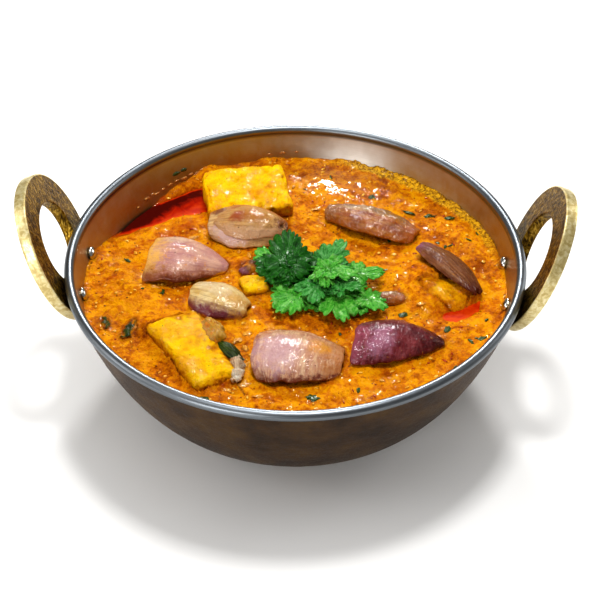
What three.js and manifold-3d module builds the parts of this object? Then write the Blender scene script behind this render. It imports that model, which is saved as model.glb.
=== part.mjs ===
// Paneer do pyaza in a round two-handled serving kadai: a steel liner with a rolled rim inside a
// bronze jacket, two riveted brass ring handles, and the curry with all that lies in and on it.
// Millimetres, +Z up. The origin is the centre of the flat foot, +X points to the right handle
// and +Y away from the eater.
import * as THREE from 'three';
import { RoundedBoxGeometry } from 'three/addons/geometries/RoundedBoxGeometry.js';
import { mergeVertices } from 'three/addons/utils/BufferGeometryUtils.js';
import Module from 'manifold-3d';

const wasm = await Module();
wasm.setup();

const { PI, cos, sin, hypot, atan2, abs, min, max } = Math;
const DEG = PI / 180;

// ---------------------------------------------------------------- driving dimensions

// Bowl
const RIM_HEIGHT = 52; // centre of the rolled rim above the table
const LIP_RADIUS = 75; // outside of the wall just under the rim
const FOOT_RADIUS = 31; // flat foot
const WALL_DEPTH_POWER = 1.2; // how soon the wall starts to draw in below the rim
const WALL_ROUND_POWER = 2.47; // how full the belly is
const BEAD_RADIUS = 1.65; // rolled rim
const BEAD_CENTRE = 74.55;
const GAP = 0.3; // clear space between neighbouring pieces
const JACKET_WALL = 0.6;
const LINER_WALL = 0.7;
const JACKET_TOP = 0.9; // share of the wall's turn where the jacket tucks under the rim
const LINER_TOP = 0.92; // share of the wall's turn where the liner runs into the rim
const BEAD_FROM = 250 * DEG; // where the rim leaves the liner's outer face
const BEAD_TO = 575 * DEG; // where it comes back to the inner face
const SLOPE_STEP = 0.002; // turn either side of a point over which the wall's slope is taken

// Ring handles
const HANDLE_LEAN = 22 * DEG; // outward from upright
const HANDLE_FACE_X = 76.95; // middle of the inner face
const HANDLE_FACE_Z = 54.9;
const HANDLE_HALF_WIDTH = 22.8;
const HANDLE_HALF_HEIGHT = 26;
const HANDLE_HOLE_HALF_WIDTH = 13.2;
const HANDLE_HOLE_HALF_HEIGHT = 13.8;
const HANDLE_HOLE_RISE = 2; // the hole sits above the middle, so the band is deepest at the foot
const HANDLE_THICKNESS = 4.1;
const HANDLE_EDGE = 0.5; // rounding of the band's edges
const SEAT_TOP = 0.96; // share of the wall's turn up to which the handles are cut to fit it

// Rivets
const RIVET_HEIGHT = 42.9;
const RIVET_SWING = 8.7 * DEG; // either side of the handle's middle
const RIVET_SHANK = 1.3;
const RIVET_HEAD = 2.45;
const RIVET_DOME = 1.3;
const RIVET_SEAT = 0.55; // heads stand off the curved faces by this much
const RIVET_FACETS = [0.25, 0.65]; // shares of a quarter turn where a head's facets meet
const RIVET_HOLE_LENGTH = 12;
const RIVET_HOLE_START = 2; // inside the wall's inner face

// Coriander leaves, in shares of a leaf's length unless said otherwise
const LEAF_THICKNESS = 0.5; // mm
const LEAF_BACK = 0.3; // reach behind the point where the stalk meets the blade
const LEAF_FULLNESS = 0.7; // power: smaller is a rounder fan
const LOBE_DEPTH = 0.3; // depth of the clefts between the three lobes
const LOBE_ROUNDNESS = 0.6; // power: smaller is a rounder lobe
const LEAF_TOOTH = 0.84; // reach between teeth
const LEAF_CUP = 0.06;
const LEAF_FRILL = 0.05;
const FRILLS = 5; // waves round the edge

// Paneer
const WAVE = { along: 0.31, across: 0.37, down: 0.25, shear: 0.2 }; // unevenness, radians per mm

// Curry
const CURRY_LEVEL = 41.4;
const CRUMB_REACH = 66;
const CRUMBS = 8; // scattered seed and onion crumbs, besides the herb flecks placed below
const SEED = 1740;
const LUMP_HEIGHT = 0.35;
const FLECK_HEIGHT = 1.3;
const FLECK_RISE = 0.15; // middle of a fleck above the curry
const OIL_DEPTH = 6; // the oil's solid starts this far under its level and is cut by its bed

// Facets
const LATHE_STEPS = 48;
const WALL_STEPS = 7;
const WALL_SPREAD = 1.2; // above 1 draws the wall's steps together where it turns most
const BEAD_STEPS = 6;
const RIVET_STEPS = 8;
const HANDLE_STEPS = 12;
const SMALL_PETAL = 20; // shorter petals have fewer facets
const PETAL_STEPS = [6, 4]; // along and across
const SMALL_PETAL_STEPS = [4, 3];
const LEAF_SPOKES = 18;
const LEAF_RINGS = [0.55, 1];
const CURRY_RINGS = 7;
const POOL_STEPS = 24;
const MERGE_DISTANCE = 1e-4;

// ---------------------------------------------------------------- meshes and solids

/** Merges shared corners, drops collapsed triangles and turns the faces outward. */
function closed(geometry) {
  const bare = geometry.clone();
  for (const name of Object.keys(bare.attributes)) {
    if (name !== 'position') bare.deleteAttribute(name);
  }
  const merged = mergeVertices(bare, MERGE_DISTANCE);
  const corner = Array.from(merged.index.array);
  const kept = [];
  for (let i = 0; i < corner.length; i += 3) {
    const [a, b, c] = corner.slice(i, i + 3);
    if (a !== b && b !== c && c !== a) kept.push(a, b, c);
  }
  merged.setIndex(signedVolume(merged, kept) < 0 ? kept.reverse() : kept);
  return merged;
}

/** Volume inside a closed triangle mesh, negative when its faces point inward. */
function signedVolume(geometry, corners) {
  const position = geometry.getAttribute('position');
  const [a, b, c] = [new THREE.Vector3(), new THREE.Vector3(), new THREE.Vector3()];
  let total = 0;
  for (let i = 0; i < corners.length; i += 3) {
    a.fromBufferAttribute(position, corners[i]);
    b.fromBufferAttribute(position, corners[i + 1]);
    c.fromBufferAttribute(position, corners[i + 2]);
    total += a.dot(b.cross(c)) / 6;
  }
  return total;
}

/** A closed mesh as a solid that can be joined and cut. */
function solid(geometry) {
  const mesh = closed(geometry);
  return new wasm.Manifold(new wasm.Mesh({
    numProp: 3,
    vertProperties: new Float32Array(mesh.getAttribute('position').array),
    triVerts: new Uint32Array(mesh.index.array),
  }));
}

/** A solid as a mesh again. */
function geometryOf(shape) {
  const { vertProperties, triVerts } = shape.getMesh();
  const geometry = new THREE.BufferGeometry();
  geometry.setAttribute('position', new THREE.BufferAttribute(vertProperties, 3));
  geometry.setIndex(new THREE.BufferAttribute(triVerts, 1));
  geometry.computeVertexNormals();
  return geometry;
}

const cut = (shape, tools) => tools.reduce((rest, tool) => rest.subtract(tool), shape);

/** A body of revolution about Z from [radius, height] pairs that start and end on the axis. */
function lathe(profile, steps = LATHE_STEPS) {
  const points = profile.map(([radius, height]) => new THREE.Vector2(radius, height));
  return new THREE.LatheGeometry(points, steps).rotateX(PI / 2);
}

/** Gives an open surface a thickness: both faces are split alike and joined round the edge. */
function thicken(points, faces, edge, thickness) {
  const flat = new THREE.BufferGeometry().setFromPoints(points);
  flat.setIndex(faces);
  flat.computeVertexNormals();
  const normals = flat.getAttribute('normal');
  const normal = new THREE.Vector3();
  const both = [];
  for (const side of [0.5, -0.5]) {
    points.forEach((point, i) => {
      normal.fromBufferAttribute(normals, i);
      both.push(point.clone().addScaledVector(normal, side * thickness));
    });
  }
  const under = points.length;
  const index = [...faces];
  for (let i = 0; i < faces.length; i += 3) {
    index.push(faces[i] + under, faces[i + 2] + under, faces[i + 1] + under);
  }
  edge.forEach((a, i) => {
    const b = edge[(i + 1) % edge.length];
    index.push(a, a + under, b, b, a + under, b + under);
  });
  const shell = new THREE.BufferGeometry().setFromPoints(both);
  shell.setIndex(index);
  return shell;
}

/** Seeded random numbers from 0 to 1. */
function randomSource(seed) {
  let state = seed;
  return () => {
    state = (state * 1664525 + 1013904223) % 4294967296;
    return state / 4294967296;
  };
}

/** A pose from a place, a turn about Z, and a tilt and roll in the piece's own axes. */
function pose({ at, yaw = 0, tilt = 0, roll = 0 }) {
  const turn = new THREE.Euler(roll * DEG, -tilt * DEG, yaw * DEG, 'ZYX');
  return new THREE.Matrix4().makeRotationFromEuler(turn).setPosition(...at);
}

const smoothstep = (x) => x * x * (3 - 2 * x);
const clamp = (x) => min(1, max(0, x));

// ---------------------------------------------------------------- materials

const material = (color, roughness, metalness = 0) =>
  new THREE.MeshStandardMaterial({ color, roughness, metalness });

const MATERIAL = {
  steel: material(0xb9b9b6, 0.25, 1),
  bronze: material(0x443223, 0.5, 1),
  brass: material(0xb09a5c, 0.35, 1),
  curry: material(0xe07f0c, 0.35),
  oil: material(0xb81f05, 0.1),
  paneer: material(0xf7b708, 0.5),
  onion: material(0xb07a72, 0.35),
  onionPale: material(0xd9b173, 0.35),
  onionPurple: material(0x5c1b33, 0.3),
  onionBrown: material(0x7d3d1c, 0.35),
  coriander: material(0x1e7a1c, 0.5),
  cookedLeaf: material(0x22301a, 0.5),
};

const dish = new THREE.Group();

/** Adds a named piece to the dish, from a mesh geometry or a solid. */
function addPiece(name, shape, finish) {
  const geometry = shape.isBufferGeometry ? closed(shape) : geometryOf(shape);
  const mesh = new THREE.Mesh(geometry, finish);
  mesh.name = name;
  dish.add(mesh);
}

// ---------------------------------------------------------------- bowl

/** [radius, height] on the wall's outer curve: turn is 0 at the foot and 1 at the rim. */
function wallCurve(turn) {
  const angle = turn * PI / 2;
  const reach = sin(angle) ** (2 / WALL_ROUND_POWER);
  const depth = cos(angle) ** (2 / WALL_DEPTH_POWER);
  return [FOOT_RADIUS + (LIP_RADIUS - FOOT_RADIUS) * reach, RIM_HEIGHT * (1 - depth)];
}

/** The wall's outer curve moved inward, square to itself. */
function wallPoint(turn, inset) {
  const [r0, z0] = wallCurve(max(0, turn - SLOPE_STEP));
  const [r1, z1] = wallCurve(min(1, turn + SLOPE_STEP));
  const [radius, height] = wallCurve(turn);
  const length = hypot(r1 - r0, z1 - z0);
  return turn === 0
    ? [radius, height + inset]
    : [radius - inset * (z1 - z0) / length, height + inset * (r1 - r0) / length];
}

/** [radius, height] pairs along the wall from the axis to a turn. */
function wallRun(inset, top, steps = WALL_STEPS) {
  const run = [[0, inset]];
  for (let i = 0; i <= steps; i++) run.push(wallPoint(top * (i / steps) ** WALL_SPREAD, inset));
  return run;
}

/** Radius of the wall at a height, for a given inset. */
function wallRadius(height, inset) {
  const run = wallRun(inset, LINER_TOP);
  const above = run.findIndex(([, level]) => level > height);
  const [[r0, z0], [r1, z1]] = [run[above - 1], run[above]];
  return r0 + (r1 - r0) * (height - z0) / (z1 - z0);
}

const INNER_INSET = JACKET_WALL + GAP + LINER_WALL;

function linerGeometry() {
  const bead = [];
  for (let i = 0; i <= BEAD_STEPS; i++) {
    const angle = BEAD_FROM + (BEAD_TO - BEAD_FROM) * i / BEAD_STEPS;
    bead.push([BEAD_CENTRE + BEAD_RADIUS * cos(angle), RIM_HEIGHT + BEAD_RADIUS * sin(angle)]);
  }
  const outside = wallRun(JACKET_WALL + GAP, LINER_TOP);
  const inside = wallRun(INNER_INSET, LINER_TOP).reverse();
  return lathe([...outside, ...bead, ...inside]);
}

function jacketGeometry() {
  return lathe([...wallRun(0, JACKET_TOP), ...wallRun(JACKET_WALL, JACKET_TOP).reverse()]);
}

/** The space that the bowl fills, with a margin round it, for seating the handles. */
function bowlBlock(margin) {
  const finer = 2;
  const run = wallRun(-margin, SEAT_TOP, finer * WALL_STEPS);
  return solid(lathe([...run, [0, run.at(-1)[1]]], finer * LATHE_STEPS));
}

// ---------------------------------------------------------------- handles and rivets

/** Frame of a handle: local X across, local Y up its face, local Z out through its thickness. */
function handleFrame() {
  const across = new THREE.Vector3(0, 1, 0);
  const up = new THREE.Vector3(sin(HANDLE_LEAN), 0, cos(HANDLE_LEAN));
  const out = new THREE.Vector3(cos(HANDLE_LEAN), 0, -sin(HANDLE_LEAN));
  return new THREE.Matrix4().makeBasis(across, up, out).setPosition(HANDLE_FACE_X, 0, HANDLE_FACE_Z);
}

function handleGeometry() {
  const inner = HANDLE_EDGE;
  const band = new THREE.Shape();
  band.absellipse(0, 0, HANDLE_HALF_WIDTH - inner, HANDLE_HALF_HEIGHT - inner, 0, 2 * PI);
  const hole = new THREE.Path();
  const holeWidth = HANDLE_HOLE_HALF_WIDTH + inner;
  const holeHeight = HANDLE_HOLE_HALF_HEIGHT + inner;
  hole.absellipse(0, HANDLE_HOLE_RISE, holeWidth, holeHeight, 0, 2 * PI);
  band.holes.push(hole);
  const geometry = new THREE.ExtrudeGeometry(band, {
    depth: HANDLE_THICKNESS - 2 * HANDLE_EDGE,
    bevelEnabled: true,
    bevelThickness: HANDLE_EDGE,
    bevelSize: HANDLE_EDGE,
    bevelSegments: 1,
    curveSegments: HANDLE_STEPS,
  });
  return geometry.translate(0, 0, HANDLE_EDGE).applyMatrix4(handleFrame());
}

/** Frame of a rivet: local Z runs out through the wall, square to it, from the wall's inner face. */
function rivetFrame(swing) {
  const radius = wallRadius(RIVET_HEIGHT, INNER_INSET);
  const lower = wallRadius(RIVET_HEIGHT - 1, INNER_INSET);
  const slope = radius - lower;
  const out = new THREE.Vector3(cos(swing), sin(swing), -slope).normalize();
  const across = new THREE.Vector3(-sin(swing), cos(swing), 0);
  const up = new THREE.Vector3().crossVectors(out, across);
  const place = new THREE.Vector3(radius * cos(swing), radius * sin(swing), RIVET_HEIGHT);
  return new THREE.Matrix4().makeBasis(across, up.negate(), out).setPosition(place);
}

/** How far along a rivet's axis the handle's outer face lies. */
function rivetGrip(frame) {
  const face = new THREE.Vector3().setFromMatrixPosition(handleFrame());
  const normal = new THREE.Vector3(cos(HANDLE_LEAN), 0, -sin(HANDLE_LEAN));
  const start = new THREE.Vector3().setFromMatrixPosition(frame);
  const axis = new THREE.Vector3().setFromMatrixColumn(frame, 2);
  return (face.sub(start).dot(normal) + HANDLE_THICKNESS) / axis.dot(normal);
}

function rivetGeometry(frame, grow = 0) {
  const far = rivetGrip(frame) + RIVET_SEAT - grow;
  const near = grow - RIVET_SEAT;
  const [head, dome, shank] = [RIVET_HEAD + grow, RIVET_DOME + 2 * grow, RIVET_SHANK + grow];
  const corners = RIVET_FACETS.map((share) => share * PI / 2);
  const [[wide, low], [narrow, high]] = corners.map((turn) => [head * cos(turn), dome * sin(turn)]);
  const profile = [
    [0, near - dome], [narrow, near - high], [wide, near - low], [head, near], [shank, near],
    [shank, far], [head, far], [wide, far + low], [narrow, far + high], [0, far + dome],
  ];
  return lathe(profile, RIVET_STEPS).applyMatrix4(frame);
}

/** The hole that a rivet's shank runs through. */
function rivetHole(frame) {
  const radius = RIVET_SHANK + GAP;
  const hole = new THREE.CylinderGeometry(radius, radius, RIVET_HOLE_LENGTH, RIVET_STEPS);
  hole.rotateX(PI / 2).translate(0, 0, RIVET_HOLE_LENGTH / 2 - RIVET_HOLE_START);
  return hole.applyMatrix4(frame);
}

// ---------------------------------------------------------------- food pieces

/**
 * Onion petal: a curved shell. from and to cut the leaf-shaped outline short at either end, peak
 * moves its widest place, arch lifts the middle line above the sides and bow the middle of its length.
 */
function petalGeometry(petal, grow = 0) {
  const { length, width, thickness, arch, bow = 0, from = 0.12, to = 0.88, peak = 1 } = petal;
  const fullness = petal.fullness ?? 0.7;
  const [alongSteps, acrossSteps] = length > SMALL_PETAL ? PETAL_STEPS : SMALL_PETAL_STEPS;
  const points = [];
  for (let i = 0; i <= alongSteps; i++) {
    const along = i / alongSteps;
    const outline = sin(PI * (from + (to - from) * along) ** peak) ** fullness;
    for (let j = 0; j <= acrossSteps; j++) {
      const across = 2 * j / acrossSteps - 1;
      const lift = arch * outline * (1 - across * across) + bow * sin(PI * along);
      points.push(new THREE.Vector3(
        (length + 2 * grow) * (along - 0.5),
        (width / 2 * outline + grow) * across,
        lift,
      ));
    }
  }
  const row = acrossSteps + 1;
  const faces = [];
  for (let i = 0; i < alongSteps; i++) {
    for (let j = 0; j < acrossSteps; j++) {
      const a = i * row + j;
      faces.push(a, a + row, a + row + 1, a, a + row + 1, a + 1);
    }
  }
  const edge = [];
  for (let i = 0; i < alongSteps; i++) edge.push(i * row);
  for (let j = 0; j < acrossSteps; j++) edge.push(alongSteps * row + j);
  for (let i = alongSteps; i > 0; i--) edge.push(i * row + acrossSteps);
  for (let j = acrossSteps; j > 0; j--) edge.push(j);
  return thicken(points, faces, edge, thickness + 2 * grow).applyMatrix4(pose(petal));
}

/** Paneer: a hand-cut block with soft corners, narrower at one end and a little uneven. */
function blockGeometry(block, grow = 0) {
  const { size: [length, width, height], taper = 0, round = 1.6, lumps = 0.5 } = block;
  const box = new RoundedBoxGeometry(
    length + 2 * grow, width + 2 * grow, height + 2 * grow, 1, round + grow);
  const position = box.getAttribute('position');
  for (let i = 0; i < position.count; i++) {
    const [x, y, z] = [position.getX(i), position.getY(i), position.getZ(i)];
    const along = x / length + 0.5;
    const wave = lumps * sin(WAVE.along * x + block.at[0]) * cos(WAVE.across * y + block.at[1]);
    const sideways = lumps * sin(WAVE.down * z + WAVE.shear * x + block.at[1]);
    position.setXYZ(i, x + 0.5 * wave, y * (1 - taper * along) + sideways, z + wave);
  }
  return closed(box).applyMatrix4(pose(block));
}

/** Outline radius of a three-lobed leaf, as a share of its length, at an angle from its tip. */
function leafReach(angle) {
  const fan = LEAF_BACK + (1 - LEAF_BACK) * abs(cos(angle / 2)) ** LEAF_FULLNESS;
  const lobes = 1 - LOBE_DEPTH * (1 - abs(cos(1.5 * angle)) ** LOBE_ROUNDNESS);
  return fan * lobes;
}

/**
 * Coriander leaf: a thin wavy blade, cupped and frilled towards its toothed edge. The spoke that
 * points back from the tip runs out into the stalk.
 */
function leafGeometry(leaf) {
  const { radius, broad, stalk, phase = 0 } = leaf;
  const points = [new THREE.Vector3(0, 0, 0)];
  for (const share of LEAF_RINGS) {
    for (let i = 0; i < LEAF_SPOKES; i++) {
      const angle = 2 * PI * i / LEAF_SPOKES;
      const onEdge = share === 1;
      let reach = radius * share * leafReach(angle) * (onEdge && i % 2 === 1 ? LEAF_TOOTH : 1);
      if (onEdge && 2 * i === LEAF_SPOKES) reach += stalk;
      const lift = share * share * (LEAF_CUP + LEAF_FRILL * sin(FRILLS * angle + phase));
      points.push(new THREE.Vector3(reach * cos(angle), broad * reach * sin(angle), radius * lift));
    }
  }
  const faces = [];
  for (let i = 0; i < LEAF_SPOKES; i++) {
    const next = (i + 1) % LEAF_SPOKES;
    const [a, b, c, d] = [1 + i, 1 + next, 1 + LEAF_SPOKES + i, 1 + LEAF_SPOKES + next];
    faces.push(0, a, b, a, c, d, a, d, b);
  }
  const edge = Array.from({ length: LEAF_SPOKES }, (_, i) => 1 + LEAF_SPOKES + i);
  return thicken(points, faces, edge, LEAF_THICKNESS).applyMatrix4(pose(leaf));
}

// Paneer: size is length, width and height.
const PANEER = {
  paneer_1: { size: [29, 24, 15], at: [-19, 44.6, 40.4], yaw: 12, tilt: 1, roll: 3 },
  paneer_2: { size: [35, 19, 16], at: [-31.2, -36.4, 36.8], yaw: -58, roll: -4, taper: 0.22, round: 2.2 },
  paneer_3: { size: [20, 14, 14], at: [49.6, -2.2, 37.6], yaw: -34, roll: -3 },
  paneer_4: { size: [9, 8, 9], at: [-13.2, -4, 40.3], yaw: 20, tilt: 6 },
};

// Onion petals: arch and bow are rises above the chord.
const ONION = {
  onion_1: {
    length: 27, width: 25, thickness: 2.2, arch: 5, bow: 1.5, from: 0.3, to: 0.96, fullness: 0.8,
    at: [-36.5, 7.4, 41.6], yaw: -9, roll: -4, finish: 'onion',
  },
  onion_2: {
    length: 27.5, width: 19, thickness: 1.9, arch: 3.8, bow: 1, from: 0.16, to: 0.93,
    at: [-17.5, 25.4, 43.8], yaw: -5, roll: 14, finish: 'onionPale',
  },
  onion_2_inner: {
    length: 19, width: 10.5, thickness: 1.4, arch: 1.6, bow: 0.8, from: 0.14, to: 0.9,
    at: [-16.4, 23.8, 49.2], yaw: -3, roll: 12, finish: 'onionPale',
  },
  onion_3: {
    length: 21, width: 15.5, thickness: 2, arch: 3.4, bow: 1, from: 0.2, to: 0.9,
    at: [-24.4, -12.4, 41.8], yaw: -24, roll: 7, finish: 'onionPale',
  },
  onion_4: {
    length: 29, width: 25, thickness: 2.4, arch: 5.2, bow: 1.6, from: 0.24, to: 0.8, fullness: 0.9,
    at: [2.4, -38, 40.8], yaw: -5, roll: -6, finish: 'onion',
  },
  onion_5: {
    length: 28.5, width: 22, thickness: 2.3, arch: 5.4, bow: 1.2, from: 0.34, to: 0.97, fullness: 0.9,
    at: [34.8, -29.8, 41], yaw: 3, roll: -5, finish: 'onionPurple',
  },
  onion_6: {
    length: 34.5, width: 14.5, thickness: 2.2, arch: 3.8, bow: 1.8, from: 0.12, to: 0.84,
    at: [25.6, 31, 41.6], yaw: -24, roll: -8, finish: 'onionBrown',
  },
  onion_7: {
    length: 30, width: 12, thickness: 2, arch: 2.4, bow: 1.4, from: 0.14, to: 0.94,
    at: [51.4, 5.6, 43.6], yaw: -53, roll: -30, finish: 'onionBrown',
  },
  onion_8: {
    length: 9, width: 5.5, thickness: 1.6, arch: 1, at: [-15.4, 5.6, 42.4], yaw: 52, finish: 'onion',
  },
  onion_9: {
    length: 9, width: 6, thickness: 2, arch: 1.4, at: [32, -8.6, 42.4], yaw: -8, finish: 'onionBrown',
  },
  onion_10: {
    length: 10.5, width: 7.5, thickness: 2.2, arch: 2, at: [-25, -28.6, 44.6], yaw: -62, roll: 10,
    finish: 'onionPale',
  },
  onion_11: {
    length: 11, width: 6.5, thickness: 2.2, arch: 2, at: [-16, -46.6, 42.8], yaw: -80, roll: 10,
    finish: 'onionPale',
  },
};

// Cooked herb leaves lying in the curry.
const HERBS = {
  herb_1: { length: 12, width: 4.6, thickness: 0.8, arch: 1, bow: 1, at: [-19.4, -37, 42.6], yaw: -48 },
  herb_2: { length: 10, width: 4, thickness: 0.8, arch: 0.8, bow: 0.5, at: [-52.5, -26, 41.6], yaw: 66 },
  herb_3: { length: 6.5, width: 2.8, thickness: 0.8, arch: 0.5, at: [-61, -23, 41.6], yaw: 110 },
};

// Coriander sprig: leaves round its middle, each with its stalk running back to it.
const CORIANDER = {
  coriander_1: { at: [-2.6, 0.5, 49.4], radius: 13.5, broad: 0.62, stalk: 3, yaw: 97, tilt: 22, phase: 1 },
  coriander_2: { at: [-7.5, 5.5, 45.4], radius: 8.5, broad: 0.8, stalk: 3, yaw: 140, tilt: 5, phase: 2 },
  coriander_3: { at: [-4.5, -3.2, 46.9], radius: 6.5, broad: 0.6, stalk: 2, yaw: 212, phase: 0.5 },
  coriander_4: { at: [0.8, -9.5, 44.5], radius: 10.5, broad: 0.75, stalk: 5, yaw: 236, phase: 3 },
  coriander_5: { at: [7.2, -7.8, 46.9], radius: 9, broad: 0.7, stalk: 3, yaw: 262, phase: 4 },
  coriander_6: { at: [10.4, 4.8, 46.6], radius: 11.5, broad: 0.74, stalk: 3, yaw: 66, tilt: 9, phase: 2.4 },
  coriander_7: { at: [20.6, -1.4, 47], radius: 9.5, broad: 0.74, stalk: 3, yaw: 4, tilt: 5, phase: 0.2 },
  coriander_8: { at: [11.5, -3, 50.2], radius: 10.5, broad: 0.55, stalk: 3, yaw: -14, phase: 1.6 },
  coriander_9: { at: [15.8, -8.4, 48.4], radius: 7, broad: 0.7, stalk: 2, yaw: -22, tilt: 4, phase: 5 },
  coriander_10: { at: [13.8, -9.6, 44.9], radius: 12.3, broad: 0.68, stalk: 2, yaw: -78, phase: 3.1 },
  coriander_11: { at: [24, -12, 45], radius: 6.5, broad: 0.75, stalk: 1, yaw: -34, phase: 4.4 },
};

// ---------------------------------------------------------------- curry

/** Broad rises (+) and dips (-) of the curry's surface: place, reach and height. */
const SWELLS = [
  { x: 38, y: 2, reach: 10, rise: 3.4 }, // paneer under sauce
  { x: -17, y: 8, reach: 8, rise: 1.6 },
  { x: -52, y: -10, reach: 12, rise: 0.8 },
  { x: 8, y: 48, reach: 14, rise: 1.2 },
  { x: 50, y: 24, reach: 12, rise: 0.8 },
  { x: 52, y: -40, reach: 12, rise: -0.8 },
  { x: -44, y: -46, reach: 14, rise: -1.4 },
  { x: 54, y: -13, reach: 6, rise: -2.8 }, // bed of the right pool
];

// The back pool lies in a crescent hollow along the wall.
const BACK_POOL = { middle: 141 * DEG, half: 23 * DEG, shore: 48, slope: 12, depth: 5.4 };

// Oil lying in those hollows: the middle and reach of the patch that holds it, and its level.
const OIL = {
  oil_back: { x: -49, y: 38, reach: 26, level: 38.3 },
  oil_right: { x: 54, y: -13, reach: 9, level: 40.6 },
};

// Flecks of chopped herb in the curry's surface: x, y, length, width and turn in degrees.
const CHOPPED_HERBS = [
  [7.8, -55.7, 4.2, 3, -10],
  [38.4, 39.6, 4.6, 2, -25],
  [45.1, 37.6, 3, 1.6, 30],
  [52.5, 36.5, 3, 2, 10],
  [25.3, 48.4, 3, 2, 80],
  [35.9, -15.5, 3, 1.6, 15],
  [50.2, -22, 3, 2, 60],
  [61.2, -25.5, 3, 1.4, 20],
  [-25.6, -57.5, 3, 2, 0],
];

/** Height of the curry's surface, with its swells and small lumps. */
function curryHeight(x, y) {
  let height = CURRY_LEVEL;
  for (const swell of SWELLS) {
    const away = hypot(x - swell.x, y - swell.y) / swell.reach;
    height += swell.rise * Math.exp(-away * away);
  }
  const swing = (atan2(y, x) - BACK_POOL.middle) / BACK_POOL.half;
  const inward = smoothstep(clamp((hypot(x, y) - BACK_POOL.shore) / BACK_POOL.slope));
  height -= BACK_POOL.depth * Math.exp(-(swing ** 4)) * inward;
  const lumps = sin(0.42 * x + 0.9) * cos(0.38 * y - 0.4) + 0.6 * sin(0.21 * (x + y) + 2);
  return height + LUMP_HEIGHT * lumps;
}

/** Radius at which the curry's surface meets the liner, less the gap. */
function shoreRadius(angle) {
  const inset = INNER_INSET + GAP;
  const rounds = 6;
  let radius = wallRadius(CURRY_LEVEL, inset);
  for (let i = 0; i < rounds; i++) {
    radius = wallRadius(curryHeight(radius * cos(angle), radius * sin(angle)), inset);
  }
  return radius;
}

/** The curry's bulk: its surface on rings, its underside following the liner. */
function curryGeometry() {
  const points = [new THREE.Vector3(0, 0, curryHeight(0, 0))];
  const shores = Array.from({ length: LATHE_STEPS }, (_, i) => shoreRadius(2 * PI * i / LATHE_STEPS));
  for (let ring = 1; ring <= CURRY_RINGS; ring++) {
    shores.forEach((shore, i) => {
      const angle = 2 * PI * i / LATHE_STEPS;
      const away = shore * ring / CURRY_RINGS;
      const [x, y] = [away * cos(angle), away * sin(angle)];
      points.push(new THREE.Vector3(x, y, curryHeight(x, y)));
    });
  }
  const belly = wallRun(INNER_INSET + GAP, LINER_TOP).slice(1, WALL_STEPS - 1).reverse();
  for (const [radius, height] of belly) {
    for (let i = 0; i < LATHE_STEPS; i++) {
      const angle = 2 * PI * i / LATHE_STEPS;
      points.push(new THREE.Vector3(radius * cos(angle), radius * sin(angle), height));
    }
  }
  points.push(new THREE.Vector3(0, 0, INNER_INSET + GAP));
  const at = (ring, i) => 1 + (ring - 1) * LATHE_STEPS + i % LATHE_STEPS;
  const last = CURRY_RINGS + belly.length;
  const faces = [];
  for (let i = 0; i < LATHE_STEPS; i++) {
    faces.push(0, at(1, i), at(1, i + 1));
    for (let ring = 1; ring < last; ring++) {
      const [a, b, c, d] = [at(ring, i), at(ring, i + 1), at(ring + 1, i), at(ring + 1, i + 1)];
      faces.push(a, c, d, a, d, b);
    }
    faces.push(at(last, i), points.length - 1, at(last, i + 1));
  }
  const geometry = new THREE.BufferGeometry().setFromPoints(points);
  geometry.setIndex(faces);
  return geometry;
}

/** One half-sunk fleck: a flattened eight-sided grain. */
function fleckGeometry(x, y, length, width, yaw) {
  const grain = new THREE.OctahedronGeometry(0.5, 0).scale(length, width, FLECK_HEIGHT);
  return grain.rotateZ(yaw).translate(x, y, curryHeight(x, y) + FLECK_RISE);
}

const POOL_CLEARANCE = 1.006; // widens the bed by the gap at the wall

/** Oil lying over the curry's bed inside a round patch, up to a level, in one piece. */
function oilPool(bed, obstacles, { x, y, reach, level }) {
  const floor = level - OIL_DEPTH;
  const base = wallRadius(floor, INNER_INSET + GAP);
  const top = wallRadius(level, INNER_INSET + GAP);
  const profile = [[0, floor], [base, floor], [top, level], [0, level]];
  const patch = new THREE.CylinderGeometry(reach, reach, 3 * OIL_DEPTH, POOL_STEPS).rotateX(PI / 2);
  const clearBed = bed.scale([POOL_CLEARANCE, POOL_CLEARANCE, 1]).translate([0, 0, GAP]);
  const pools = cut(solid(lathe(profile)).intersect(solid(patch.translate(x, y, level))), [
    clearBed,
    ...obstacles,
  ]).decompose();
  return pools.reduce((widest, pool) => (pool.volume() > widest.volume() ? pool : widest));
}

// ---------------------------------------------------------------- assembly

const SIDES = { right: 0, left: PI };
const SPOTS = { back: RIVET_SWING, front: -RIVET_SWING };
const rivets = {};
for (const [side, turn] of Object.entries(SIDES)) {
  for (const [spot, swing] of Object.entries(SPOTS)) {
    const frame = rivetFrame(swing);
    rivets[`rivet_${side}_${spot}`] = {
      body: rivetGeometry(frame).rotateZ(turn),
      space: solid(rivetGeometry(frame, GAP).rotateZ(turn)),
      hole: solid(rivetHole(frame).rotateZ(turn)),
    };
  }
}
const holes = Object.values(rivets).map(({ hole }) => hole);

addPiece('steel_liner', cut(solid(linerGeometry()), holes), MATERIAL.steel);
addPiece('bronze_jacket', cut(solid(jacketGeometry()), holes), MATERIAL.bronze);
const seat = bowlBlock(GAP);
for (const [side, turn] of Object.entries(SIDES)) {
  addPiece(`handle_${side}`, cut(solid(handleGeometry().rotateZ(turn)), [seat, ...holes]), MATERIAL.brass);
}
for (const [name, { body }] of Object.entries(rivets)) addPiece(name, body, MATERIAL.steel);

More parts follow.
